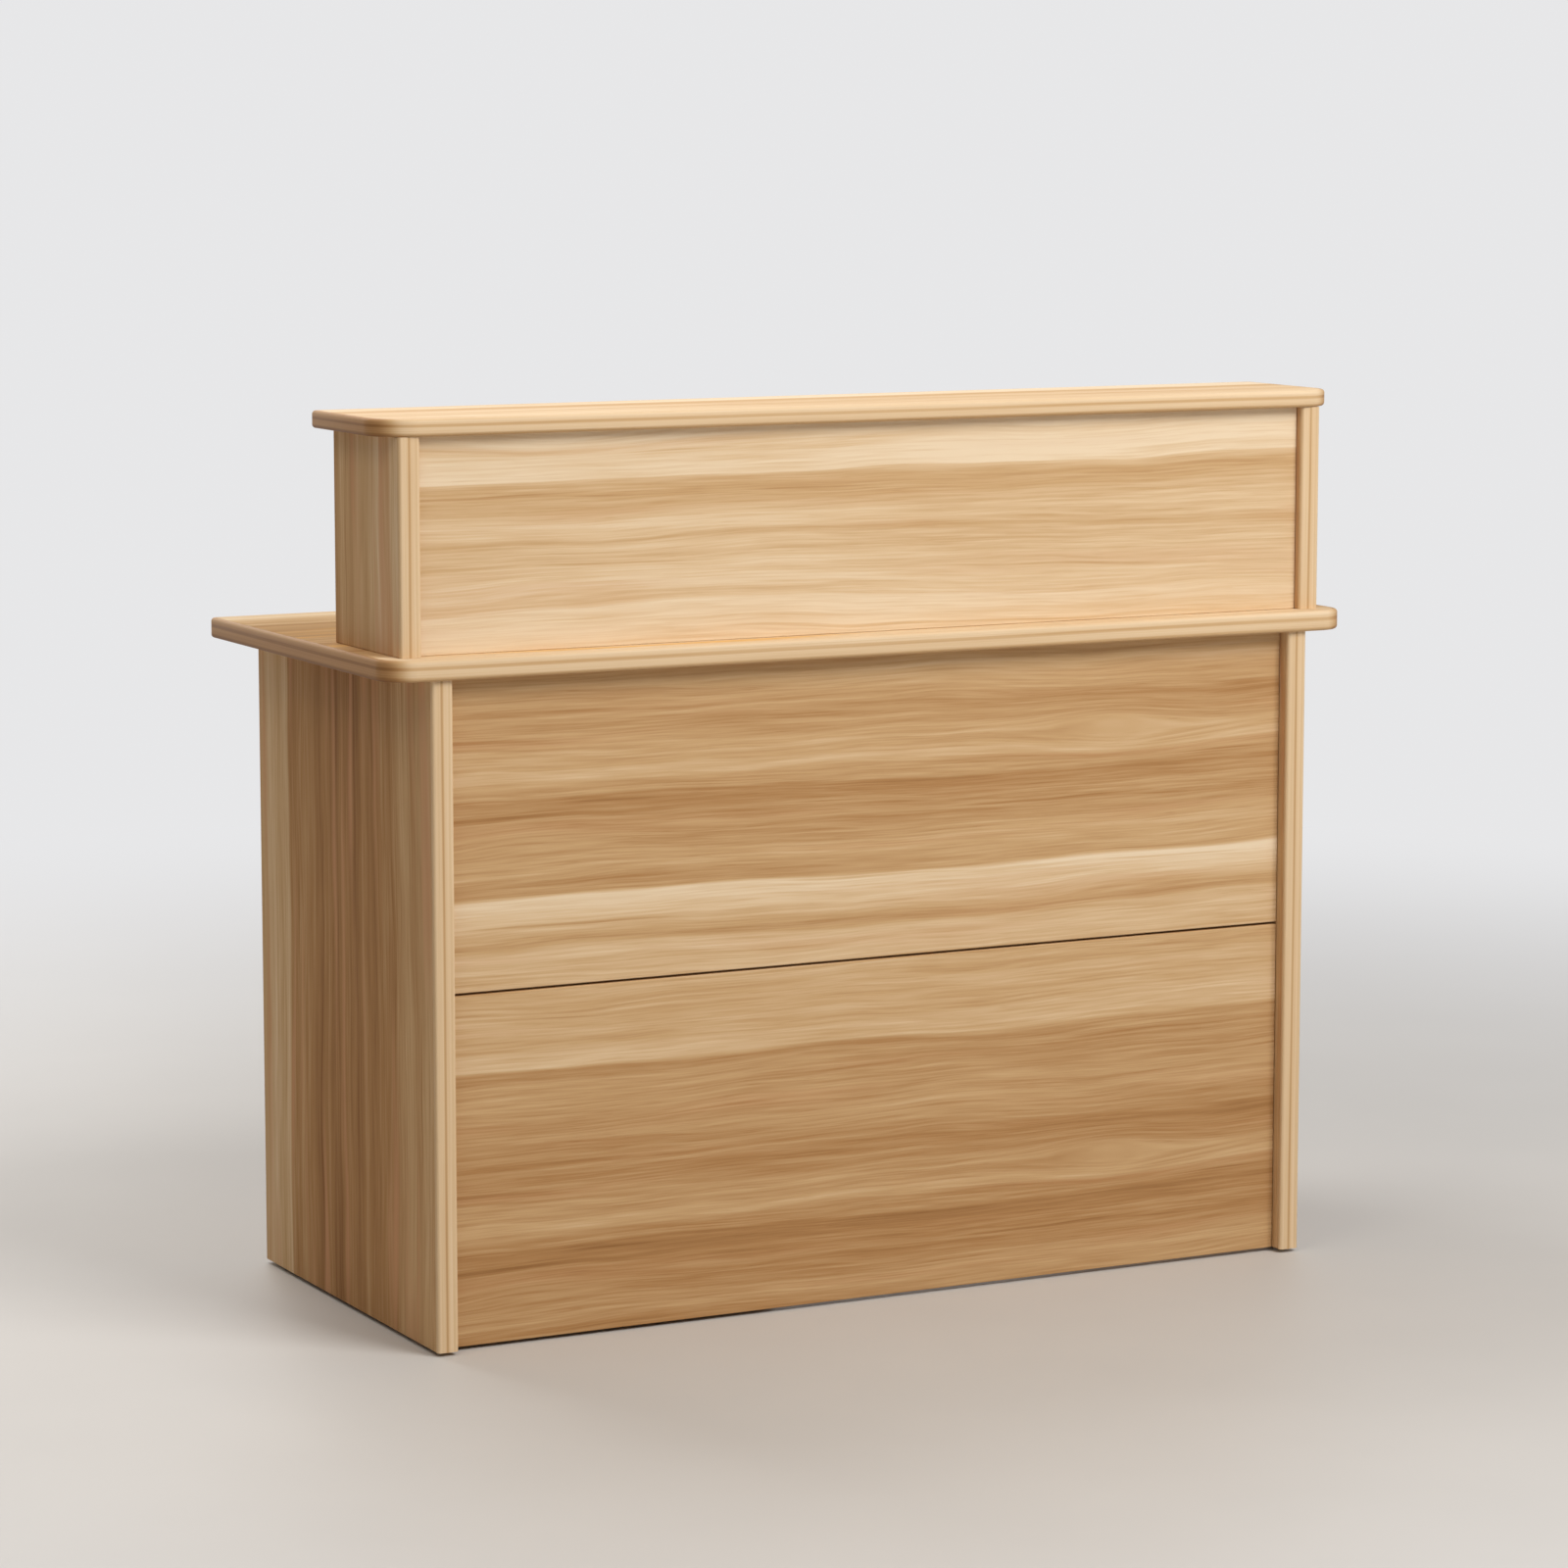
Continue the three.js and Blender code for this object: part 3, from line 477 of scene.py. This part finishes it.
def lipping(node, along, across, stripes, painted_end_shade=0.0):
    """Edge lipping of one board: a printed strip whose stripes run along it, with painted shade darkening
    its ends.
    """
    finish = Finish(f"{node}_strip")
    low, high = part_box(node)
    through = X + Y + Z - along - across
    a = finish.axes[along]
    c = finish.axes[through]
    share = (finish.axes[across] - low[across]) / (high[across] - low[across])
    sway = finish.noise(finish.point(a * 2.5, 0.4, c * 2.5), detail=1)
    bands = (share + sway * 0.035).clamped().tones(stripes)
    fibres = finish.noise(finish.point(a * 6, share * 22, c * 6), detail=2)
    cloud = finish.noise(finish.point(a * 2, share * 3, c * 2), detail=1)
    # Painted shade: the tone falls over the last few centimetres towards each end of the strip.
    ends = a.math("ABSOLUTE").step(high[along] - LIPPING_END, high[along] - LIPPING_ARRIS)
    tone = bands + fibres * 0.06 + cloud * 0.05 - ends * painted_end_shade
    return finish.wear(
        Base_Color=tone.clamped().ramp(SHADES),
        Roughness=(0.50 + fibres * 0.03),
        Specular_IOR_Level=0.15,
        Normal=finish.bump(fibres, LIPPING_RELIEF),
    )


def hardboard(name):
    finish = Finish(name)
    x, y, z = finish.axes
    streaks = finish.noise(finish.point(x * 70, y * 2, z), detail=3)
    flecks = finish.noise(finish.place, scale=FLECK_PITCH, detail=1)
    tone = 0.56 + streaks * 0.10 + flecks * 0.04
    return finish.wear(
        Base_Color=tone.clamped().ramp(SHADES),
        Roughness=(0.62 + flecks * 0.05),
        Normal=finish.bump(flecks, FLECK_RELIEF),
    )


def plated(name, colour, roughness, along):
    """Plated metal, brushed along one axis."""
    finish = Finish(name)
    pitches = [BRUSH_ALONG if index == along else BRUSH_ACROSS for index in (X, Y, Z)]
    scaled = [axis * pitch for axis, pitch in zip(finish.axes, pitches)]
    brushing = finish.noise(finish.point(*scaled), detail=2)
    cloud = finish.noise(finish.place, scale=PLATE_CLOUD_PITCH, detail=2)
    dull = tuple(part * DULL_SHARE for part in colour) + (1,)
    return finish.wear(
        Base_Color=finish.mix((0.35 + cloud * 0.25).clamped(), (*colour, 1), dull),
        Metallic=1.0,
        Roughness=(roughness + brushing * 0.05 + cloud * 0.04),
        Normal=finish.bump(brushing, BRUSH_RELIEF),
    )


def moulded(name, colour, roughness):
    """Moulded plastic with a fine spark texture."""
    finish = Finish(name)
    grain = finish.noise(finish.place, scale=SPARK_PITCH, detail=2)
    cloud = finish.noise(finish.place, scale=PLASTIC_CLOUD_PITCH, detail=2)
    shade = tuple(part * SHADED_SHARE for part in colour) + (1,)
    return finish.wear(
        Base_Color=finish.mix((0.3 + cloud * 0.3).clamped(), (*colour, 1), shade),
        Roughness=(roughness + grain * 0.04),
        Normal=finish.bump(grain, SPARK_RELIEF),
    )


ZINC = plated("zinc_plate", (0.62, 0.63, 0.64), 0.34, Y)
NICKEL = plated("satin_nickel_level", (0.70, 0.68, 0.64), 0.30, X)
NICKEL_UPRIGHT = plated("satin_nickel_upright", (0.70, 0.68, 0.64), 0.30, Z)
BLACK = moulded("black_nylon", (0.022, 0.022, 0.024), 0.5)
WHITE = moulded("white_moulding", (0.80, 0.79, 0.76), 0.42)
CAP = moulded("cap_plastic", (0.62, 0.43, 0.23), 0.45)

# Boards by finish. Each print is moved so that neighbouring boards don't repeat each other.
TOPS = {
    "desk_top": laminate("desk_laminate", X, Y, (0.25, -0.418), 0.03, DESK_PRINT, 0.03, GOLD, 0.9),
    "counter_top": laminate("counter_laminate", X, Y, (0.9, 0.356), 0.07, HUTCH_PRINT, gloss=0.30),
}
BOARDS = {
    # The lower front panel is set darker than the upper one (-0.06 against 0.03): painted shade towards the
    # floor.
    laminate("lower_front_laminate", X, Z, (0.0, 0.318), -0.06): ["lower_front_panel"],
    laminate("upper_front_laminate", X, Z, (0.0, -0.174), 0.03): ["upper_front_panel"],
    laminate("hutch_front_laminate", X, Z, (0.7, -0.549), 0.07, HUTCH_PRINT): ["hutch_front_panel"],
    # The side panels are set darker and redder than the fronts (light -0.09, warm tint to depth 0.75):
    # partly painted shade, as they face away from the key lamp. The hutch sides are set lighter (0.12):
    # painted bounce light from the desk top.
    laminate("side_laminate", Z, Y, (1.2, 0.740), -0.09, SIDE_PRINT, depth=0.75): [
        "left_side_panel",
        "right_side_panel",
    ],
    laminate("hutch_side_laminate", Z, Y, (-0.6, 0.770), 0.12, SIDE_PRINT, depth=0.75): [
        "hutch_left_side_panel",
        "hutch_right_side_panel",
    ],
    laminate("partition_laminate", Z, Y, (0.7, 0.27)): ["partition_panel"],
    laminate("door_laminate", Z, X, (0.05, 0.58)): ["cupboard_door"],
    laminate("drawer_front_laminate", X, Z, (0.60, -0.42)): ["drawer_front"],
    laminate("tray_laminate", X, Y, (-0.10, 0.10)): ["keyboard_tray"],
    laminate("fascia_laminate", X, Z, (0.10, -0.10)): ["keyboard_tray_fascia"],
    laminate("drawer_box_laminate", Y, Z, (0.9, -0.55)): ["drawer_left_side", "drawer_right_side"],
    laminate("rail_laminate", X, Z, (-0.7, 0.05)): ["drawer_back", "cupboard_plinth", "seam_batten"],
    laminate("shelf_laminate", X, Y, (0.5, 0.35)): [
        "cupboard_floor",
        "drawer_divider",
        "cupboard_shelf",
    ],
    hardboard("drawer_hardboard"): ["drawer_bottom"],
}
SIDES = ("left", "right")
ENDS = ("front", "rear")
HINGES = ("lower", "upper")
FITTINGS = {
    ZINC: [
        "lock_cam",
        "lock_strike",
        "catch_plate",
        *(f"drawer_runner_{side}_{member}" for side in SIDES for member in ("fixed", "middle", "sliding")),
        *(f"tray_runner_{side}_{member}" for side in SIDES for member in ("fixed", "sliding")),
        *(f"hinge_{end}_{leaf}" for end in HINGES for leaf in ("frame_leaf", "door_leaf")),
        *(f"shelf_pin_{side}_{end}" for side in SIDES for end in ENDS),
    ],
    NICKEL: ["lock_barrel", "lock_plug"],
    BLACK: [*(f"glide_{side}_{end}" for side in SIDES for end in ENDS), "glide_partition"],
    WHITE: ["catch_body"],
}
HANDLES = {"drawer_handle": NICKEL, "door_handle": NICKEL_UPRIGHT}


def dress(piece, material):
    piece.data.materials.clear()
    piece.data.materials.append(material)


def leave_edit():
    if bpy.context.object and bpy.context.object.mode != "OBJECT":
        bpy.ops.object.mode_set(mode="OBJECT")
    bpy.ops.object.select_all(action="DESELECT")


def take(piece):
    """Makes a piece the only one that operators act on."""
    leave_edit()
    piece.select_set(True)
    bpy.context.view_layer.objects.active = piece


def block(name, low, high):
    """A box between two corners, to be shaped further."""
    leave_edit()
    bpy.ops.mesh.primitive_cube_add(size=1, location=(low + high) / 2, scale=high - low)
    bpy.ops.object.transform_apply(location=True, rotation=True, scale=True)
    piece = bpy.context.object
    piece.name = name
    return piece


def pick(piece, kind, test):
    """Selects, in edit mode, the corners, edges or faces whose corners all pass a test."""
    bpy.ops.object.mode_set(mode="EDIT")
    bpy.ops.mesh.select_mode(type=kind)
    bpy.ops.mesh.select_all(action="DESELECT")
    bpy.ops.object.mode_set(mode="OBJECT")
    mesh = piece.data
    if kind == "VERT":
        for corner in mesh.vertices:
            corner.select = test([corner.co])
    else:
        for item in mesh.edges if kind == "EDGE" else mesh.polygons:
            item.select = test([mesh.vertices[index].co for index in item.vertices])
    bpy.ops.object.mode_set(mode="EDIT")


def near(value, target):
    return abs(value - target) < HAIR


def upright(ends):
    return near(ends[0].x, ends[1].x) and near(ends[0].y, ends[1].y)


def finish_piece(piece, material, node, angle=SMOOTH_ANGLE):
    """Shades a new piece, and puts it in the place of its node on the same body."""
    take(piece)
    bpy.ops.object.shade_smooth_by_angle(angle=angle)
    dress(piece, material)
    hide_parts(node)
    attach(piece, frame["nodes"][node]["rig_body"])


def top_lipping(core, corner):
    """The lipping round a top: corners rounded in plan, both arrises rounded, and the middle taken out."""
    node = f"{core}_lipping"
    low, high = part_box(node)
    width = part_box(core)[0].x - low.x - FIT
    piece = block(f"{node}_moulded", low, high)
    pick(piece, "EDGE", lambda ends: upright(ends) and near(ends[0].y, low.y))
    bpy.ops.mesh.bevel(offset=corner, segments=CORNER_SEGMENTS)
    pick(piece, "EDGE", lambda ends: upright(ends) and near(ends[0].y, high.y))
    bpy.ops.mesh.bevel(offset=REAR_CORNER, segments=REAR_SEGMENTS)

    def flat(corners):
        return all(near(c.z, low.z) for c in corners) or all(near(c.z, high.z) for c in corners)

    pick(piece, "EDGE", flat)
    bpy.ops.mesh.bevel(offset=LIPPING_ARRIS, segments=LIPPING_SEGMENTS)
    pick(piece, "FACE", flat)
    bpy.ops.mesh.inset(thickness=width - LIPPING_ARRIS)
    bpy.ops.mesh.bridge_edge_loops()
    bpy.ops.mesh.select_all(action="SELECT")
    bpy.ops.mesh.normals_make_consistent(inside=False)
    finish_piece(piece, lipping(node, X, Z, TOP_STRIPES, TOP_END_PAINTED_SHADE), node)


def upright_lipping(node):
    """The lipping on the front edge of a side panel, with both arrises rounded."""
    low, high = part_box(node)
    piece = block(f"{node}_moulded", low, high)
    pick(piece, "EDGE", lambda ends: upright(ends) and near(ends[0].y, low.y))
    bpy.ops.mesh.bevel(offset=LIPPING_ARRIS, segments=LIPPING_SEGMENTS)
    finish_piece(piece, lipping(node, Z, X, UPRIGHT_STRIPES), node)


def welded(node):
    """A copy of a node's own shape, its loose facets welded into one skin, in edit mode."""
    piece = bpy.data.objects.new(f"{node}_finished", frame["nodes"][node].data.copy())
    bpy.context.scene.collection.objects.link(piece)
    take(piece)
    bpy.ops.mesh.customdata_custom_splitnormals_clear()
    bpy.ops.object.mode_set(mode="EDIT")
    bpy.ops.mesh.select_all(action="SELECT")
    bpy.ops.mesh.remove_doubles(threshold=HAIR / 5)
    return piece


def build_boards():
    """The tops keep their nodes inside the lippings. All other boards get their sharp edges eased."""
    for node, material in TOPS.items():
        for slot in frame["nodes"][node].material_slots:
            slot.material = material
    for material, nodes in BOARDS.items():
        for node in nodes:
            piece = welded(node)
            bpy.ops.mesh.dissolve_limited(angle_limit=MERGE_ANGLE)
            bpy.ops.object.mode_set(mode="OBJECT")
            bpy.ops.object.modifier_add(type="BEVEL")
            easing = piece.modifiers[-1]
            easing.width = BOARD_ARRIS
            easing.segments = BOARD_SEGMENTS
            easing.limit_method = "ANGLE"
            easing.angle_limit = SHARP_ANGLE
            bpy.ops.object.modifier_apply(modifier=easing.name)
            finish_piece(piece, material, node, FLAT_ANGLE)


def build_fittings():
    for material, nodes in FITTINGS.items():
        for node in nodes:
            finish_piece(welded(node), material, node)


def build_handles():
    """The bow handles: their facets are subdivided into round bars, whose feet stay flat on the boards."""
    for node, material in HANDLES.items():
        piece = welded(node)
        bpy.ops.mesh.tris_convert_to_quads()
        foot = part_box(node)[0].y
        pick(piece, "EDGE", lambda ends: all(near(end.y, foot) for end in ends))
        bpy.ops.transform.edge_crease(value=1)
        bpy.ops.object.mode_set(mode="OBJECT")
        bpy.ops.object.modifier_add(type="SUBSURF")
        rounding = piece.modifiers[-1]
        rounding.levels = HANDLE_LEVELS
        bpy.ops.object.modifier_apply(modifier=rounding.name)
        finish_piece(piece, material, node)


def disc(radius, height, sides):
    """A round blank on the floor plane, with its upper rim rounded and its upper face selected."""
    leave_edit()
    middle = (0, 0, height / 2)
    bpy.ops.mesh.primitive_cylinder_add(vertices=sides, radius=radius, depth=height, location=middle)
    bpy.ops.object.transform_apply(location=True)
    piece = bpy.context.object
    pick(piece, "EDGE", lambda ends: all(near(end.z, height) for end in ends))
    bpy.ops.mesh.bevel(offset=height * RIM_SHARE, segments=RIM_SEGMENTS)
    pick(piece, "FACE", lambda corners: all(near(c.z, height) for c in corners))
    return piece


def pattern(piece):
    """The finished mesh of a fitting, to be copied. Its own object goes."""
    take(piece)
    bpy.ops.object.shade_smooth_by_angle(angle=SMOOTH_ANGLE)
    mesh = piece.data
    bpy.data.objects.remove(piece)
    return mesh


def screw_head(height):
    """A screw head with a cross recess."""
    piece = disc(SCREW_RADIUS, height, SCREW_SIDES)
    flat_radius = SCREW_RADIUS - height * RIM_SHARE
    bpy.ops.mesh.inset(thickness=flat_radius - CROSS_RADIUS)

    def inner(corner):
        return near(corner.z, height) and math.hypot(corner.x, corner.y) < CROSS_RADIUS + HAIR

    def between_arms(corner):
        return min(abs(corner.x), abs(corner.y)) > HAIR

    pick(piece, "VERT", lambda corners: inner(corners[0]) and between_arms(corners[0]))
    bpy.ops.transform.resize(value=(CROSS_WAIST, CROSS_WAIST, 1))
    pick(piece, "FACE", lambda corners: all(inner(corner) for corner in corners))
    down = {"value": (0, 0, -height * CROSS_DEPTH)}
    bpy.ops.mesh.extrude_region_move(TRANSFORM_OT_translate=down)
    bpy.ops.transform.resize(value=(CROSS_TAPER, CROSS_TAPER, 1))
    return pattern(piece)


def cover_cap():
    """A push-in cap over a cam fitting: a flat rim, a fine groove and a low crown."""
    piece = disc(CAP_RADIUS, CAP_HEIGHT, CAP_SIDES)
    for width, rise in CAP_STEPS:
        bpy.ops.mesh.inset(thickness=width, depth=rise)
    return pattern(piece)


def fasten(mesh, name, node, facing, places, material):
    """Copies of a fitting on a node's face, each with its own mesh, riding on the node's body."""
    turn = Vector((0, 0, 1)).rotation_difference(Vector(facing)).to_matrix().to_4x4()
    for number, place in enumerate(places, 1):
        own = mesh.copy()
        own.transform(Matrix.Translation(place) @ turn)
        piece = bpy.data.objects.new(f"{name}_{number}", own)
        bpy.context.scene.collection.objects.link(piece)
        dress(piece, material)
        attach(piece, frame["nodes"][node]["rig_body"])


def build_screws():
    head = screw_head(SCREW_HEIGHT)
    flush = screw_head(FLUSH_HEIGHT)

    def screws(name, node, facing, places, mesh=head):
        fasten(mesh, name, node, facing, places, ZINC)

    half = HANDLE_CENTRES / 2
    low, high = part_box("drawer_handle")
    middle = (low + high) / 2
    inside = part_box("drawer_front")[0].y
    places = [(middle.x + side * half, inside, middle.z) for side in (-1, 1)]
    screws("drawer_handle_screw", "drawer_front", (0, -1, 0), places)

    low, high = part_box("door_handle")
    middle = (low + high) / 2
    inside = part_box("cupboard_door")[0].y
    places = [(middle.x, inside, middle.z + side * half) for side in (-1, 1)]
    screws("door_handle_screw", "cupboard_door", (0, -1, 0), places)

    low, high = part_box("catch_body")
    ears = (low.x + CATCH_EAR_MIDDLE, high.x - CATCH_EAR_MIDDLE)
    under = high.z + FIT / 2 - CATCH_EAR_GAUGE
    places = [(x, (low.y + high.y) / 2, under) for x in ears]
    screws("catch_screw", "catch_body", (0, 0, -1), places)
    low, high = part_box("catch_plate")
    places = [(x, low.y, low.z + CATCH_PLATE_SCREW_LEVEL) for x in ears]
    screws("catch_plate_screw", "catch_plate", (0, -1, 0), places)

    low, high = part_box("lock_strike")
    middle = (low + high) / 2
    row, under = high.y - STRIKE_SCREW_INSET, high.z - STRIKE_GAUGE
    places = [(middle.x + side, row, under) for side in STRIKE_SCREW_SIDES]
    screws("strike_screw", "lock_strike", (0, 0, -1), places, flush)

    door_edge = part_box("cupboard_door")[0].x - FIT / 2
    for end in HINGES:
        low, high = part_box(f"hinge_{end}_frame_leaf")
        faces = {"frame_leaf": (low.x + LEAF_GAUGE, 1), "door_leaf": (door_edge - LEAF_GAUGE, -1)}
        for leaf, (x, facing) in faces.items():
            node = f"hinge_{end}_{leaf}"
            places = [(x, low.y + LEAF_SCREW_INSET, low.z + up) for up in LEAF_SCREW_LEVELS]
            screws(f"{node}_screw", node, (facing, 0, 0), places, flush)

    low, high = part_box("seam_batten")
    rows = (low.z + BATTEN_SCREW_INSET, high.z - BATTEN_SCREW_INSET)
    places = [(x, high.y, z) for z in rows for x in BATTEN_SCREW_COLUMNS]
    screws("batten_screw", "seam_batten", (0, 1, 0), places)


def build_caps():
    cap = cover_cap()

    def caps(node, facing, places):
        fasten(cap, f"{node}_cap", node, facing, places, CAP)

    for node, levels in CAP_LEVELS.items():
        low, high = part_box(node)
        columns = (low.x + CAP_INSET, high.x - CAP_INSET)
        caps(node, (0, 1, 0), [(x, high.y, z) for x in columns for z in levels])

    for node, (facing, rows) in CAP_ROWS.items():
        low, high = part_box(node)
        face = high.x if facing > 0 else low.x
        caps(node, (facing, 0, 0), [(face, y, high.z - CAP_INSET) for y in rows])


def shown_rays(tree):
    """1 for the rays that show the surroundings: straight to the camera, by reflection or through glass."""
    rays = tree.nodes.new("ShaderNodeLightPath")
    straight = Field(tree, rays.outputs["Is Camera Ray"])
    reflected = Field(tree, rays.outputs["Is Glossy Ray"])
    through = Field(tree, rays.outputs["Is Transmission Ray"])
    return (straight + reflected + through).clamped()


# The pale stage
BACKDROP = (0.80, 0.80, 0.81, 1)
FLOOR = (0.60, 0.588, 0.576, 1)
FLOOR_WORN = (0.57, 0.558, 0.546, 1)
FLOOR_RADIUS = 40
FLOOR_SIDES = 96
FLOOR_CLOUD_PITCH = 3
FADE_START = 0.8
FADE_END = 3.6
AMBIENT = (1.0, 0.94, 0.86, 1)
AMBIENT_STRENGTH = 0.22


def build_stage():
    """A wide pale floor that fades into the pale surroundings."""
    leave_edit()
    bpy.ops.mesh.primitive_circle_add(vertices=FLOOR_SIDES, radius=FLOOR_RADIUS, fill_type="NGON")
    floor = bpy.context.object
    floor.name = "floor"
    finish = Finish("pale_floor")
    x, y, _ = finish.axes
    cloud = finish.noise(finish.place, scale=FLOOR_CLOUD_PITCH, detail=3)
    finish.wear(Base_Color=finish.mix((0.5 + cloud * 0.4).clamped(), FLOOR, FLOOR_WORN), Roughness=0.55)
    tree = finish.material.node_tree
    glow = finish.place.node("ShaderNodeEmission", {}, {0: BACKDROP, 1: 1.0})
    surface = Field(tree, finish.shader.outputs[0])
    distance = (x * x + y * y).math("SQRT")
    fade = distance.step(FADE_START, FADE_END) * shown_rays(tree)
    blend = finish.place.node("ShaderNodeMixShader", {}, {0: fade, 1: surface, 2: glow})
    output = next(node for node in tree.nodes if node.type == "OUTPUT_MATERIAL")
    tree.links.new(blend.socket, output.inputs["Surface"])
    dress(floor, finish.material)


def build_surroundings():
    """An even pale room: it shows at full strength to the camera and in reflections, and lights softly."""
    world = bpy.data.worlds.new("surroundings")
    world.use_nodes = True
    tree = world.node_tree
    tree.nodes.clear()
    seen = shown_rays(tree)
    shown = seen.node("ShaderNodeBackground", {}, {0: BACKDROP, 1: 1.0})
    light = seen.node("ShaderNodeBackground", {}, {0: AMBIENT, 1: AMBIENT_STRENGTH})
    blend = seen.node("ShaderNodeMixShader", {}, {0: seen, 1: light, 2: shown})
    output = tree.nodes.new("ShaderNodeOutputWorld")
    tree.links.new(blend.socket, output.inputs["Surface"])
    bpy.context.scene.world = world


# Lamps: place, target, size, power and colour
DAYLIGHT = (1.0, 0.975, 0.94)
WARM = (1.0, 0.85, 0.68)
LAMPS = {
    "key": ((1.2, -3.0, 3.3), (0.0, -0.2, 0.6), 2.0, 136, DAYLIGHT),
    "staff_side": ((-0.5, 1.3, 3.0), (-0.1, 0.1, 0.5), 1.2, 33, DAYLIGHT),
    "rear_fill": ((-0.5, 3.6, 1.6), (0.0, 0.2, 0.5), 2.4, 30, DAYLIGHT),
    "left_fill": ((-2.0, -1.2, 3.0), (-0.4, 0.0, 0.5), 1.4, 16, WARM),
}


def build_lamps():
    for name, (place, target, size, power, colour) in LAMPS.items():
        lamp = bpy.data.lights.new(name, "AREA")
        lamp.size = size
        lamp.energy = power
        lamp.color = colour
        holder = bpy.data.objects.new(name, lamp)
        holder.location = place
        holder.rotation_euler = (Vector(target) - Vector(place)).to_track_quat("-Z", "Y").to_euler()
        bpy.context.scene.collection.objects.link(holder)


# Camera: solved from the photograph's edges, for a square image
CAMERA_PLACE = (-2.6195, -5.0837, 1.3410)
CAMERA_YAW = math.radians(27.265)
CAMERA_PITCH = math.radians(7.82)
CAMERA_LENS = 115.183
SENSOR_WIDTH = 36


def build_camera():
    camera = bpy.data.cameras.new("camera")
    camera.lens = CAMERA_LENS
    camera.sensor_width = SENSOR_WIDTH
    holder = bpy.data.objects.new("camera", camera)
    holder.location = CAMERA_PLACE
    holder.rotation_euler = (math.pi / 2 - CAMERA_PITCH, 0, -CAMERA_YAW)
    bpy.context.scene.collection.objects.link(holder)
    bpy.context.scene.camera = holder


build_camera()
build_boards()
top_lipping("desk_top", DESK_CORNER)
top_lipping("counter_top", COUNTER_CORNER)
for side in ("left_side", "right_side", "hutch_left_side", "hutch_right_side"):
    upright_lipping(f"{side}_lipping")
build_fittings()
build_handles()
build_screws()
build_caps()
build_stage()
build_surroundings()
build_lamps()
bpy.context.scene.view_settings.view_transform = "Standard"
